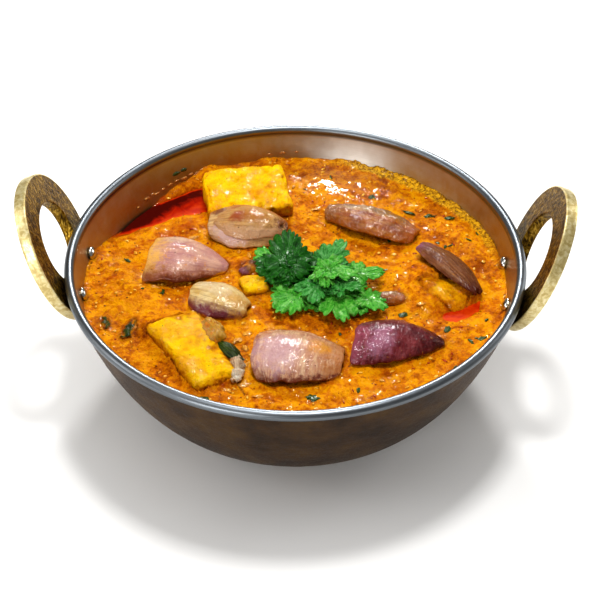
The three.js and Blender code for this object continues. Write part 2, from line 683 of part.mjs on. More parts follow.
// Every piece of food, and the same piece grown by the gap for cutting its neighbours.
const food = {};
for (const [name, block] of Object.entries(PANEER)) {
  food[name] = {
    body: solid(blockGeometry(block)),
    space: solid(blockGeometry(block, GAP)),
    finish: MATERIAL.paneer,
  };
}
for (const [name, petal] of Object.entries({ ...ONION, ...HERBS })) {
  food[name] = {
    body: solid(petalGeometry(petal)),
    space: solid(petalGeometry(petal, GAP)),
    finish: MATERIAL[petal.finish ?? 'cookedLeaf'],
  };
}

// What lies underneath is dented by what rests on it.
const RESTS_ON = [
  ['onion_2', 'paneer_1'],
  ['onion_7', 'paneer_3'],
  ['onion_10', 'paneer_2'],
  ['onion_11', 'paneer_2'],
  ['herb_1', 'paneer_2'],
  ['herb_1', 'onion_11'],
];
for (const [upper, lower] of RESTS_ON) {
  food[lower].body = food[lower].body.subtract(food[upper].space);
}
for (const [name, { body, finish }] of Object.entries(food)) addPiece(name, body, finish);
for (const [name, leaf] of Object.entries(CORIANDER)) {
  addPiece(name, leafGeometry(leaf), MATERIAL.coriander);
}

const spaces = Object.values(food).map(({ space }) => space);
const heads = Object.values(rivets).map(({ space }) => space);
const bed = solid(curryGeometry());
for (const [name, pool] of Object.entries(OIL)) {
  addPiece(name, oilPool(bed, [...spaces, ...heads], pool), MATERIAL.oil);
}

const random = randomSource(SEED);
let curry = bed;
for (const [x, y, length, width, yaw] of CHOPPED_HERBS) {
  curry = curry.add(solid(fleckGeometry(x, y, length, width, yaw * DEG)));
}
for (let i = 0; i < CRUMBS; i++) {
  const angle = 2 * PI * (i + random()) / CRUMBS;
  const away = CRUMB_REACH * random() ** 0.5;
  const [x, y] = [away * cos(angle), away * sin(angle)];
  curry = curry.add(solid(fleckGeometry(x, y, 2 + random(), 1 + random(), 2 * PI * random())));
}
addPiece('curry', cut(curry, [...spaces, ...heads]), MATERIAL.curry);

export default dish;
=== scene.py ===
"""Paneer do pyaza in a round two-handled serving kadai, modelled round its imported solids.

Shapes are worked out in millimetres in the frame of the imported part: the origin is the centre of the
flat foot, +X points to the right handle and +Y away from the eater. Finishing a piece scales it to
metres.
"""

import logging
import random
from collections.abc import Iterable, Sequence
from dataclasses import dataclass, field
from enum import Enum
from math import atan2, cos, degrees, exp, hypot, pi, radians, sin, sqrt

import bmesh
import bpy
from mathutils import Matrix, Vector, noise
from mathutils.bvhtree import BVHTree


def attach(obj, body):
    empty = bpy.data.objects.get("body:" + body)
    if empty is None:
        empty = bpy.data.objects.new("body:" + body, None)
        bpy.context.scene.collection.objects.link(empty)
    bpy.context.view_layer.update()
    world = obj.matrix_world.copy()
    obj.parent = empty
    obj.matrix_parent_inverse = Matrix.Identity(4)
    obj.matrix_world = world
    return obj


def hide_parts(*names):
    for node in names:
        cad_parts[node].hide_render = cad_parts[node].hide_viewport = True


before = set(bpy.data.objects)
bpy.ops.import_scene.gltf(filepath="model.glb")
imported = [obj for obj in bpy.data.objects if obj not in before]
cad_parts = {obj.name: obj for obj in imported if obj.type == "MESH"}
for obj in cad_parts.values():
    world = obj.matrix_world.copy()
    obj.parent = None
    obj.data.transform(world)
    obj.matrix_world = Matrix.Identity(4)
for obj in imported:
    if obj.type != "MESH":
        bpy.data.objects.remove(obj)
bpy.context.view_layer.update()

LOG = logging.getLogger("kadai")
MILLIMETRE = 0.001
TURN = 2 * pi
GAP = 0.3
NOISE_SPAN = (0.3, 0.7)
BMesh = bmesh.types.BMesh
Material = bpy.types.Material
Socket = bpy.types.NodeSocket
Input = float | tuple[float, ...] | Socket
Colour = tuple[float, float, float, float]


# ---------------- small helpers


def tint(code: str) -> Colour:
    """Turns a colour code into the linear colour that shaders use.

    Args:
        code: A hash sign and six hexadecimal digits.

    Returns:
        Linear red, green, blue and alpha.
    """
    shares = [int(code[i:i + 2], 16) / 255 for i in (1, 3, 5)]
    linear = [s / 12.92 if s <= 0.04045 else ((s + 0.055) / 1.055) ** 2.4 for s in shares]
    return (linear[0], linear[1], linear[2], 1.0)


def ease(value: float, low: float, high: float) -> float:
    """Rises smoothly from 0 at low to 1 at high.

    Args:
        value: The number to place between the limits.
        low: Where the result is 0.
        high: Where the result is 1; it may lie under low.

    Returns:
        A share from 0 to 1.
    """
    share = min(1.0, max(0.0, (value - low) / (high - low)))
    return share * share * (3 - 2 * share)


def ripple(x: float, y: float, z: float = 0.0) -> float:
    """Smooth noise of about unit size, from about -1 to 1."""
    return noise.noise((x, y, z))


def pose(at: Sequence[float], yaw: float = 0.0, tilt: float = 0.0, roll: float = 0.0) -> Matrix:
    """Builds a piece's pose.

    Args:
        at: The place of the piece's own origin.
        yaw: Turn about Z, in degrees.
        tilt: Rise of the piece's own X axis, in degrees.
        roll: Turn about the piece's own X axis, in degrees.

    Returns:
        The pose as a matrix.
    """
    turn = Matrix.Rotation(radians(yaw), 4, "Z") @ Matrix.Rotation(radians(-tilt), 4, "Y")
    return Matrix.Translation(at) @ turn @ Matrix.Rotation(radians(roll), 4, "X")


def spun(profile: Sequence[tuple[float, float]], steps: int, weld: float,
         closed: bool = False) -> BMesh:
    """Spins a line once round the Z axis.

    Args:
        profile: Radius and height pairs along the line.
        steps: How many facets the full turn has.
        weld: How near two points are that become one.
        closed: Whether the line returns to its start.

    Returns:
        The mesh that the line sweeps.
    """
    bm = bmesh.new()
    line = [bm.verts.new((radius, 0.0, height)) for radius, height in profile]
    ends = line[1:] + line[:1] if closed else line[1:]
    edges = [bm.edges.new(pair) for pair in zip(line, ends)]
    bmesh.ops.spin(bm, geom=line + edges, cent=(0, 0, 0), axis=(0, 0, 1), angle=TURN, steps=steps,
                   use_merge=True)
    bmesh.ops.remove_doubles(bm, verts=bm.verts, dist=weld)
    return bm


def revolve(profile: Sequence[tuple[float, float]], steps: int) -> BMesh:
    """Turns a profile once round the Z axis.

    Args:
        profile: Radius and height pairs that start and end on the axis.
        steps: How many facets the full turn has.

    Returns:
        A closed mesh whose faces point outward.
    """
    bm = spun(profile, steps, 1e-4)
    bmesh.ops.recalc_face_normals(bm, faces=bm.faces)
    return bm


def slab(size: Sequence[float], cells: Sequence[int], rounding: float) -> BMesh:
    """Makes a slab with rounded edges, centred on the origin and split evenly.

    Args:
        size: Its length, width and height.
        cells: How many faces it has along each of them.
        rounding: The radius of its edges.

    Returns:
        A closed mesh of four-sided faces.
    """
    bm = bmesh.new()
    bmesh.ops.create_cube(bm, size=1.0)
    for axis, count in enumerate(cells):
        along = [e for e in bm.edges if abs(e.verts[0].co[axis] - e.verts[1].co[axis]) > 1e-6]
        bmesh.ops.subdivide_edges(bm, edges=along, cuts=count - 1, use_grid_fill=True)
    inner = [side / 2 - rounding for side in size]
    for vert in bm.verts:
        full = Vector([c * side for c, side in zip(vert.co, size)])
        core = Vector([min(limit, max(-limit, c)) for c, limit in zip(full, inner)])
        out = full - core
        vert.co = core + out.normalized() * rounding if out.length > 1e-9 else full
    return bm


def hill(x: float, y: float, middle: tuple[float, float], half: tuple[float, float], yaw: float) -> float:
    """Gives the height of an oval hill that fades out smoothly.

    Args:
        x: The place's X.
        y: The place's Y.
        middle: The hill's middle.
        half: How far it reaches along and across.
        yaw: The turn of its long way, in degrees.

    Returns:
        1 at the middle, falling to 0.
    """
    angle = radians(yaw)
    dx, dy = x - middle[0], y - middle[1]
    ahead = (dx * cos(angle) + dy * sin(angle)) / half[0]
    aside = (dy * cos(angle) - dx * sin(angle)) / half[1]
    return exp(-ahead * ahead - aside * aside)


def baked(name: str, bm: BMesh) -> bpy.types.Mesh:
    """Stores a mesh in the making, which is used up.

    Args:
        name: The stored mesh's name.
        bm: The mesh in the making.

    Returns:
        The stored mesh.
    """
    mesh = bpy.data.meshes.new(name)
    bm.to_mesh(mesh)
    bm.free()
    return mesh


def linked(name: str, data: bpy.types.ID) -> bpy.types.Object:
    """Puts a mesh, a light or a camera into the scene.

    Args:
        name: The object's name.
        data: What it shows.

    Returns:
        The object, at the origin.
    """
    thing = bpy.data.objects.new(name, data)
    bpy.context.scene.collection.objects.link(thing)
    return thing


def join(bm: BMesh, other: BMesh) -> None:
    """Adds another mesh, which is used up.

    Args:
        bm: The mesh that grows.
        other: The mesh that is added.
    """
    scrap = baked("scrap", other)
    bm.from_mesh(scrap)
    bpy.data.meshes.remove(scrap)


def stem(bm: BMesh, path: Sequence[Vector], thick: float, thin: float, sides: int = 8) -> None:
    """Adds a round stalk along a path.

    Args:
        bm: The mesh that gets the stalk.
        path: The points that the stalk's middle runs through.
        thick: The radius at the path's start.
        thin: The radius at its end.
        sides: How many sides it has.
    """
    tube = bmesh.new()
    bmesh.ops.create_cone(tube, cap_ends=True, segments=sides, radius1=1, radius2=1, depth=1)
    rising = [edge for edge in tube.edges if abs(edge.verts[0].co.z - edge.verts[1].co.z) > 0.5]
    bmesh.ops.subdivide_edges(tube, edges=rising, cuts=len(path) - 2, use_grid_fill=True)
    for vert in tube.verts:
        share = vert.co.z + 0.5
        step = round(share * (len(path) - 1))
        ahead = path[min(step + 1, len(path) - 1)] - path[max(step - 1, 0)]
        around = Vector((vert.co.x, vert.co.y, 0)) * (thick + (thin - thick) * share)
        vert.co = path[step] + ahead.to_track_quat("Z", "X") @ around
    join(bm, tube)


class Contacts:
    """Everything that the sauce meets, for asking how near the next piece is."""

    def __init__(self) -> None:
        """Starts with nothing to meet."""
        self.points: list[Vector] = []
        self.faces: list[list[int]] = []
        self.climbs: list[float] = []
        self.tree: BVHTree | None = None

    def add(self, bm: BMesh, climb: float = 0.7) -> None:
        """Adds a piece's surface.

        Args:
            bm: The piece, in place.
            climb: How high the sauce creeps up its sides.
        """
        start = len(self.points)
        bm.verts.index_update()
        self.points += [vert.co.copy() for vert in bm.verts]
        self.faces += [[start + vert.index for vert in face.verts] for face in bm.faces]
        self.climbs += [climb] * len(bm.faces)
        self.tree = None

    def reach(self, point: Vector, limit: float) -> tuple[float, float]:
        """Measures the way to the nearest piece.

        Args:
            point: Where to measure from.
            limit: The longest way that matters.

        Returns:
            The distance, negative inside a piece and limit where nothing is that near, and how high
            the sauce creeps up that piece.
        """
        if self.tree is None:
            self.tree = BVHTree.FromPolygons(self.points, self.faces)
        spot, normal, face, away = self.tree.find_nearest(point, limit)
        if spot is None:
            return limit, 0.0
        return (-away if (point - spot).dot(normal) < 0 else away), self.climbs[face]


# ---------------- finishes


class Sheet:
    """A material in the making, with its shader and short ways to add nodes."""

    def __init__(self, name: str) -> None:
        """Starts a material.

        Args:
            name: The material's name.
        """
        self.material = bpy.data.materials.new(name)
        self.material.use_nodes = True
        tree = self.material.node_tree
        self.nodes, self.links = tree.nodes, tree.links
        self.shader = self.nodes["Principled BSDF"]
        place = self.node("TexCoord").outputs["Object"]
        self.place = self.stretched((1 / MILLIMETRE,) * 3, place)

    def feed(self, socket: Socket, value: Input) -> None:
        """Links a value to a socket, or sets it there if it is a plain number or colour.

        Args:
            socket: The socket.
            value: What it gets.
        """
        if isinstance(value, bpy.types.NodeSocket):
            self.links.new(value, socket)
        else:
            socket.default_value = value

    def set(self, **values: Input) -> None:
        """Feeds the shader's sockets, named with underscores for spaces."""
        for name, value in values.items():
            self.feed(self.shader.inputs[name.replace("_", " ")], value)

    def node(self, kind: str, *values: Input, **settings: str) -> bpy.types.Node:
        """Adds a node.

        Args:
            kind: Its type.
            values: What its first sockets get, in order.
            settings: Its own settings, by name.

        Returns:
            The node.
        """
        node = self.nodes.new(f"ShaderNode{kind}")
        for name, setting in settings.items():
            setattr(node, name, setting)
        for socket, value in zip(node.inputs, values):
            self.feed(socket, value)
        return node

    def stretched(self, scale: tuple[float, float, float], place: Socket | None = None) -> Socket:
        """Multiplies coordinates axis by axis."""
        return self.node("VectorMath", place or self.place, scale, operation="MULTIPLY").outputs[0]

    def packed(self, x: Input, y: Input, z: Input = 0.0) -> Socket:
        """Makes coordinates from three numbers."""
        return self.node("CombineXYZ", x, y, z).outputs[0]

    def height(self) -> Socket:
        """Height above the floor, in millimetres."""
        return self.node("SeparateXYZ", self.place).outputs[2]

    def radius(self) -> Socket:
        """Distance from the bowl's middle line, in millimetres."""
        return self.node("VectorMath", self.stretched((1, 1, 0)), operation="LENGTH").outputs["Value"]

    def trait(self, name: str) -> Socket:
        """Reads a number that the mesh carries at its corners."""
        return self.node("Attribute", attribute_name=name).outputs["Fac"]

    def cloud(self, scale: float, detail: float = 2.0, rough: float = 0.5, twist: float = 0.0,
              place: Socket | None = None) -> Socket:
        """Adds noise.

        Args:
            scale: Features per millimetre, or per unit of place.
            detail: How many finer layers it has.
            rough: How strong the finer layers are.
            twist: How far the pattern is warped.
            place: Coordinates, if not those of the object.

        Returns:
            Values round 0.5.
        """
        node = self.node("TexNoise", place or self.place)
        names = ("Scale", "Detail", "Roughness", "Distortion")
        for name, value in zip(names, (scale, detail, rough, twist)):
            node.inputs[name].default_value = value
        return node.outputs[0]

    def warped(self, scale: float, reach: float) -> Socket:
        """Shifts the coordinates by noise, so that what is drawn with them is ragged.

        Args:
            scale: Noise features per millimetre.
            reach: The longest shift in millimetres.

        Returns:
            The shifted coordinates.
        """
        wind = self.node("TexNoise", self.place)
        wind.inputs["Scale"].default_value = scale
        shift = (wind.outputs["Color"], (2 * reach,) * 3, self.place)
        return self.node("VectorMath", *shift, operation="MULTIPLY_ADD").outputs[0]

    def dots(self, scale: float, size: float, share: float, place: Socket | None = None) -> Socket:
        """Adds scattered dots.

        Args:
            scale: Cells per millimetre, each of which may hold a dot.
            size: A dot's radius as a share of a cell.
            share: How many of the cells hold one.
            place: Coordinates, if not those of the object.

        Returns:
            1 in a dot and 0 outside.
        """
        node = self.node("TexVoronoi", place or self.place)
        node.inputs["Scale"].default_value = scale
        split = self.node("SeparateColor", node.outputs["Color"])
        chosen = self.reckon("LESS_THAN", split.outputs[0], share)
        return self.times(chosen, self.slope(node.outputs["Distance"], size, size * 0.6))

    def dimples(self, scale: float) -> Socket:
        """Adds round dimples.

        Args:
            scale: Dimples per millimetre.

        Returns:
            The distance to the middle of the nearest dimple.
        """
        node = self.node("TexVoronoi", self.place, feature="SMOOTH_F1")
        node.inputs["Scale"].default_value = scale
        return node.outputs["Distance"]

    def reckon(self, operation: str, a: Input, b: Input) -> Socket:
        """Does arithmetic with two numbers."""
        return self.node("Math", a, b, operation=operation).outputs[0]

    def plus(self, a: Input, b: Input) -> Socket:
        """Adds two numbers."""
        return self.reckon("ADD", a, b)

    def minus(self, a: Input, b: Input) -> Socket:
        """Takes the second number from the first."""
        return self.reckon("SUBTRACT", a, b)

    def times(self, a: Input, b: Input) -> Socket:
        """Multiplies two numbers."""
        return self.reckon("MULTIPLY", a, b)

    def larger(self, a: Input, b: Input) -> Socket:
        """Takes the larger of two numbers."""
        return self.reckon("MAXIMUM", a, b)

    def smaller(self, a: Input, b: Input) -> Socket:
        """Takes the smaller of two numbers."""
        return self.reckon("MINIMUM", a, b)

    def weighed(self, *layers: tuple[Socket, float]) -> Socket:
        """Adds numbers by their weights.

        Args:
            layers: Each a number and its weight.

        Returns:
            The total.
        """
        parts = [self.times(value, weight) for value, weight in layers]
        total = parts[0]
        for part in parts[1:]:
            total = self.plus(total, part)
        return total

    def slope(self, value: Input, low: float, high: float, start: float = 0.0, end: float = 1.0) -> Socket:
        """Goes smoothly from start, where value is low, to end, where it is high."""
        limits = (low, high, start, end)
        return self.node("MapRange", value, *limits, interpolation_type="SMOOTHSTEP").outputs[0]

    def painted(self, colour: Input, share: Input, code: str) -> Socket:
        """Covers a colour by a share of the colour that a code names."""
        return self.mix(share, colour, tint(code))

    def mix(self, share: Input, a: Input, b: Input) -> Socket:
        """Mixes two colours.

        Args:
            share: How much of the second colour shows, from 0 to 1.
            a: The first colour.
            b: The second colour.

        Returns:
            The mixed colour.
        """
        node = self.node("Mix", share, data_type="RGBA")
        for socket, value in zip(node.inputs[6:8], (a, b)):
            self.feed(socket, value)
        return node.outputs[2]

    def shades(self, value: Socket, *stops: tuple[float, str]) -> Socket:
        """Colours a number.

        Args:
            value: The number.
            stops: Each a position and a colour code.

        Returns:
            The colour.
        """
        node = self.node("ValToRGB", value)
        marks = node.color_ramp.elements
        while len(marks) < len(stops):
            marks.new(0.5)
        for mark, (position, code) in zip(marks, stops):
            mark.position = position
            mark.color = tint(code)
        return node.outputs[0]

    def bumped(self, *layers: tuple[Socket, float]) -> Socket:
        """Makes a surface direction with bumps.

        Args:
            layers: Each a height socket and how many millimetres a height of 1 stands for.

        Returns:
            The direction's socket.
        """
        normal: Socket | None = None
        for height, depth in layers:
            node = self.node("Bump")
            node.inputs["Distance"].default_value = depth * MILLIMETRE
            self.feed(node.inputs["Height"], height)
            if normal is not None:
                self.links.new(normal, node.inputs["Normal"])
            normal = node.outputs[0]
        return normal

    def relief(self, *layers: tuple[Socket, float]) -> None:
        """Adds bumps to the shader's base."""
        self.set(Normal=self.bumped(*layers))

    def film(self, weight: Input, scale: float, depth: float, roughness: float = 0.06,
             calm: Input = 0.0) -> None:
        """Adds a clear wet film with soft bumps that break its reflections into glints.

        Args:
            weight: How much it reflects.
            scale: Bumps per millimetre.
            depth: Their height in millimetres.
            roughness: How blurred its reflections are.
            calm: How much the bumps are smoothed out.
        """
        waves = self.times(self.cloud(scale, 1.5, 0.45, 0.3), self.minus(1.0, calm))
        self.set(Coat_Weight=weight, Coat_Roughness=roughness, Coat_Normal=self.bumped((waves, depth)))


@dataclass(frozen=True)
class SteelFinish:
    """Polished steel with fine turning marks, a thin film of oil near the sauce, and a rim painted darker as
    a painted reflection.
    """

    name: str = "turned_steel"
    bright: str = "#c9c8c4"
    dull: str = "#a5a39e"
    bead: str = "#72777c"
    film: str = "#ac8832"
    bead_span: tuple[float, float] = (50.0, 50.6)
    film_strength: float = 0.8
    film_span: tuple[float, float] = (52.0, 45.0)
    film_wander: float = 6.0
    roughness: tuple[float, float] = (0.3, 0.46)

    def material(self) -> Material:
        """Makes the material.

        Returns:
            The material.
        """
        sheet = Sheet(self.name)
        height = sheet.height()
        lines = sheet.packed(sheet.radius(), height)
        turned = sheet.cloud(3.2, 3, 0.7, place=lines)
        worn = sheet.cloud(0.16, 4, 0.6)
        steel = sheet.mix(worn, tint(self.dull), tint(self.bright))
        # Painted reflection: above bead_span the rolled rim takes a darker bluish colour, standing in for the
        # dim surroundings that it mirrors.
        steel = sheet.painted(steel, sheet.slope(height, *self.bead_span), self.bead)
        steel = sheet.painted(steel, sheet.slope(turned, 0.45, 0.7, 0.0, 0.3), self.dull)
        wandering = sheet.plus(height, sheet.times(worn, self.film_wander))
        wet = sheet.slope(wandering, *self.film_span, 0.6, 1.0)
        smeared = sheet.slope(sheet.cloud(0.2, 4, 0.7, 0.6), 0.35, 0.65, 0.75, 1.0)
        # The stained trait leaves out the oil film on a patch at the back, which is a painted highlight.
        film = sheet.times(sheet.times(wet, sheet.trait("stained")), smeared)
        film = sheet.times(film, self.film_strength)
        scuffs = sheet.plus(turned, sheet.times(worn, 0.5))
        sheet.set(Base_Color=sheet.painted(steel, film, self.film), Metallic=1.0,
                  Roughness=sheet.slope(scuffs, 0.4, 1.1, *self.roughness))
        sheet.relief((turned, 0.012), (worn, 0.05))
        return sheet.material


@dataclass(frozen=True)
class BronzeFinish:
    """Dark antiqued bronze with small hammer marks."""

    name: str = "antique_bronze"
    dark: str = "#22160c"
    mid: str = "#46301a"
    worn: str = "#64491f"

    def material(self) -> Material:
        """Makes the material.

        Returns:
            The material.
        """
        sheet = Sheet(self.name)
        patches = sheet.cloud(0.07, 5, 0.65)
        grain = sheet.cloud(1.6, 4, 0.7)
        lines = sheet.cloud(1.7, 3, 0.7, place=sheet.packed(sheet.radius(), sheet.height()))
        marks = sheet.dimples(0.42)
        tone = sheet.weighed((patches, 0.6), (grain, 0.25), (lines, 0.2))
        colour = sheet.shades(tone, (0.38, self.dark), (0.53, self.mid), (0.7, self.worn))
        sheet.set(Base_Color=colour, Metallic=0.72, Roughness=sheet.slope(grain, *NOISE_SPAN, 0.42, 0.6))
        sheet.relief((marks, 0.12), (grain, 0.035), (lines, 0.02))
        return sheet.material


@dataclass(frozen=True)
class BrassFinish:
    """Brass: bright where it is polished, darker between the hammer strokes where it isn't."""

    name: str
    dark: str
    mid: str
    bright: str
    stroke_depth: float
    roughness: tuple[float, float]
    stretch: tuple[float, float, float] = (1.5, 1.5, 0.42)
    metal: float = 0.92

    def material(self) -> Material:
        """Makes the material.

        Returns:
            The material.
        """
        sheet = Sheet(self.name)
        strokes = sheet.cloud(1.0, 3, 0.6, 0.6, place=sheet.stretched(self.stretch))
        patina = sheet.cloud(0.14, 4, 0.6)
        fine = sheet.cloud(3.0, 2, 0.6)
        tone = sheet.weighed((strokes, 0.75), (patina, 0.25))
        colour = sheet.shades(tone, (0.4, self.dark), (0.52, self.mid), (0.66, self.bright))
        sheet.set(Base_Color=colour, Metallic=self.metal,
                  Roughness=sheet.slope(fine, *NOISE_SPAN, *self.roughness))
        sheet.relief((strokes, self.stroke_depth), (fine, 0.02))
        return sheet.material


@dataclass(frozen=True)
class SauceColour:
    """The sauce's mottled orange with its oil streaks and ground spices."""

    light: str = "#de9602"
    body: str = "#c27002"
    deep: str = "#904602"
    oil: str = "#a63e00"
    spice: str = "#702c02"
    speck: str = "#3c1806"

    def mixed(self, sheet: Sheet, oiled: Input = 0.0) -> Socket:
        """Mixes the colour.

        Args:
            sheet: The material that it is for.
            oiled: How oily a place is, besides the streaks.

        Returns:
            The colour's socket.
        """
        broad = sheet.cloud(0.09, 4, 0.6, 0.4)
        middle = sheet.cloud(0.36, 3, 0.6, 0.7)
        fine = sheet.cloud(1.3, 3, 0.7)
        tone = sheet.weighed((broad, 0.4), (middle, 0.42), (fine, 0.18))
        colour = sheet.shades(tone, (0.39, self.deep), (0.475, self.body), (0.565, self.light))
        streaky = sheet.slope(sheet.cloud(0.3, 5, 0.75, 1.4), 0.58, 0.74, 0.0, 0.5)
        colour = sheet.painted(colour, sheet.larger(streaky, oiled), self.oil)
        grounds = sheet.slope(sheet.cloud(0.5, 4, 0.72, 1.2), 0.56, 0.7, 0.0, 0.55)
        colour = sheet.painted(colour, grounds, self.spice)
        for scale, size, share, shade in ((0.22, 0.16, 0.35, self.spice), (0.5, 0.2, 0.26, self.spice),
                                          (0.66, 0.14, 0.1, self.speck), (1.5, 0.24, 0.04, self.speck)):
            dots = sheet.dots(scale, size, share, sheet.warped(0.7, 1.1))
            colour = sheet.painted(colour, sheet.times(dots, 0.8), shade)
        return colour


@dataclass(frozen=True)
class CurryFinish:
    """Thick sauce with a frothy edge at the wall, and painted shade in dark brown along the wall and round
    each piece.
    """

    name: str = "curry_sauce"
    sauce: SauceColour = SauceColour()
    # Painted shade colour, laid along the wall and round the pieces.
    shade: str = "#481a02"
    froth: str = "#e2aa22"
    froth_dark: str = "#7a4e0c"

    def material(self) -> Material:
        """Makes the material.

        Returns:
            The material.
        """
        sheet = Sheet(self.name)
        colour = self.sauce.mixed(sheet, sheet.trait("oiled"))
        lumpy = sheet.slope(sheet.cloud(0.8, 5, 0.8, 0.3), 0.4, 0.58)
        froth = sheet.mix(lumpy, tint(self.froth_dark), tint(self.froth))
        colour = sheet.mix(sheet.trait("froth"), colour, froth)
        # Painted shade: the shaded trait darkens the sauce towards the shade colour where it meets the wall
        # and each piece.
        ragged = sheet.slope(sheet.cloud(0.6, 3, 0.7), 0.3, 0.6, 0.35, 1.0)
        colour = sheet.painted(colour, sheet.times(sheet.trait("shaded"), ragged), self.shade)
        fine = sheet.cloud(1.7, 3, 0.7)
        sheet.set(Base_Color=colour, Roughness=sheet.slope(fine, *NOISE_SPAN, 0.3, 0.5),
                  Specular_IOR_Level=0.03, Subsurface_Weight=0.08, Subsurface_Scale=0.001,
                  Subsurface_Radius=(1.0, 0.45, 0.08))
        sheet.relief((sheet.cloud(0.6, 3, 0.6), 0.7), (fine, 0.12))
        pools = sheet.slope(sheet.cloud(0.22, 4, 0.7, 0.8), 0.54, 0.66, 0.0, 0.5)
        wet = sheet.larger(pools, sheet.times(sheet.trait("shaded"), 0.35))
        glare = sheet.trait("glare")
        sheet.film(sheet.larger(wet, glare), 0.75, 0.24, 0.05, sheet.times(glare, 0.62))
        return sheet.material


@dataclass(frozen=True)
class OilFinish:
    """Clear red spiced oil, darker where it is deep and, as painted shade, darker towards the wall."""

    name: str = "red_oil"
    thin: str = "#cc4404"
    mid: str = "#b02002"
    thick: str = "#520802"

    def material(self) -> Material:
        """Makes the material.

        Returns:
            The material.
        """
        sheet = Sheet(self.name)
        swirl = sheet.cloud(0.22, 3, 0.6, 0.8)
        depth = sheet.plus(sheet.trait("depth"), sheet.times(sheet.minus(swirl, 0.5), 1.1))
        colour = sheet.shades(depth, (0.12, self.thin), (0.45, self.mid), (0.85, self.thick))
        sheet.set(Base_Color=colour, Roughness=0.35, Specular_IOR_Level=0.03)
        sheet.film(0.2, 0.35, 0.16, 0.03)
        return sheet.material


@dataclass(frozen=True)
class PaneerFinish:
    """Moist grainy cheese, stained yellow, with sauce clinging to its lower parts and edges."""

    name: str = "paneer"
    light: str = "#ffca04"
    body: str = "#f6b202"
    deep: str = "#e49602"
    speck: str = "#5a2c04"
    sauce: SauceColour = SauceColour()

    def material(self) -> Material:
        """Makes the material.

        Returns:
            The material.
        """
        sheet = Sheet(self.name)
        broad = sheet.cloud(0.13, 3, 0.6)
        middle = sheet.cloud(0.55, 4, 0.65, 0.3)
        grain = sheet.cloud(1.6, 4, 0.75)
        tone = sheet.weighed((broad, 0.45), (middle, 0.3), (grain, 0.25))
        colour = sheet.shades(tone, (0.38, self.deep), (0.47, self.body), (0.56, self.light))
        smear = sheet.slope(sheet.cloud(0.28, 5, 0.7, 0.8), 0.52, 0.72, 0.0, 0.75)
        patchy = sheet.times(smear, sheet.trait("smear"))
        coat = sheet.smaller(sheet.plus(sheet.trait("sauce"), patchy), 1.0)
        colour = sheet.mix(coat, colour, self.sauce.mixed(sheet))
        warped = sheet.warped(0.8, 0.6)
        for scale, size in ((0.34, 0.1), (0.8, 0.16)):
            dots = sheet.dots(scale, size, 0.3, warped)
            colour = sheet.painted(colour, sheet.times(dots, 0.8), self.speck)
        sheet.set(Base_Color=colour, Roughness=sheet.slope(grain, *NOISE_SPAN, 0.3, 0.55),
                  Specular_IOR_Level=0.03, Subsurface_Weight=0.15, Subsurface_Scale=0.001,
                  Subsurface_Radius=(1.0, 0.7, 0.1))
        sheet.relief((middle, 0.8), (grain, 0.6))
        wet = sheet.slope(sheet.cloud(0.3, 4, 0.7, 0.6), 0.5, 0.62, 0.03, 0.8)
        sheet.film(wet, 1.3, 0.26, 0.05)
        return sheet.material


class Axis(Enum):
    """Which way something runs on a petal."""

    ALONG = "along"
    ACROSS = "across"


@dataclass(frozen=True)
class Accent:
    """A colour that takes over part of a petal, from none at one place to full at another."""

    axis: Axis
    start: float
    end: float
    colour: str
    strength: float = 1.0


@dataclass(frozen=True)
class Stain:
    """A ragged oval patch of colour on a petal, placed by its share of the way along and across."""

    along: float
    across: float
    length: float
    width: float
    colour: str
    strength: float = 0.9


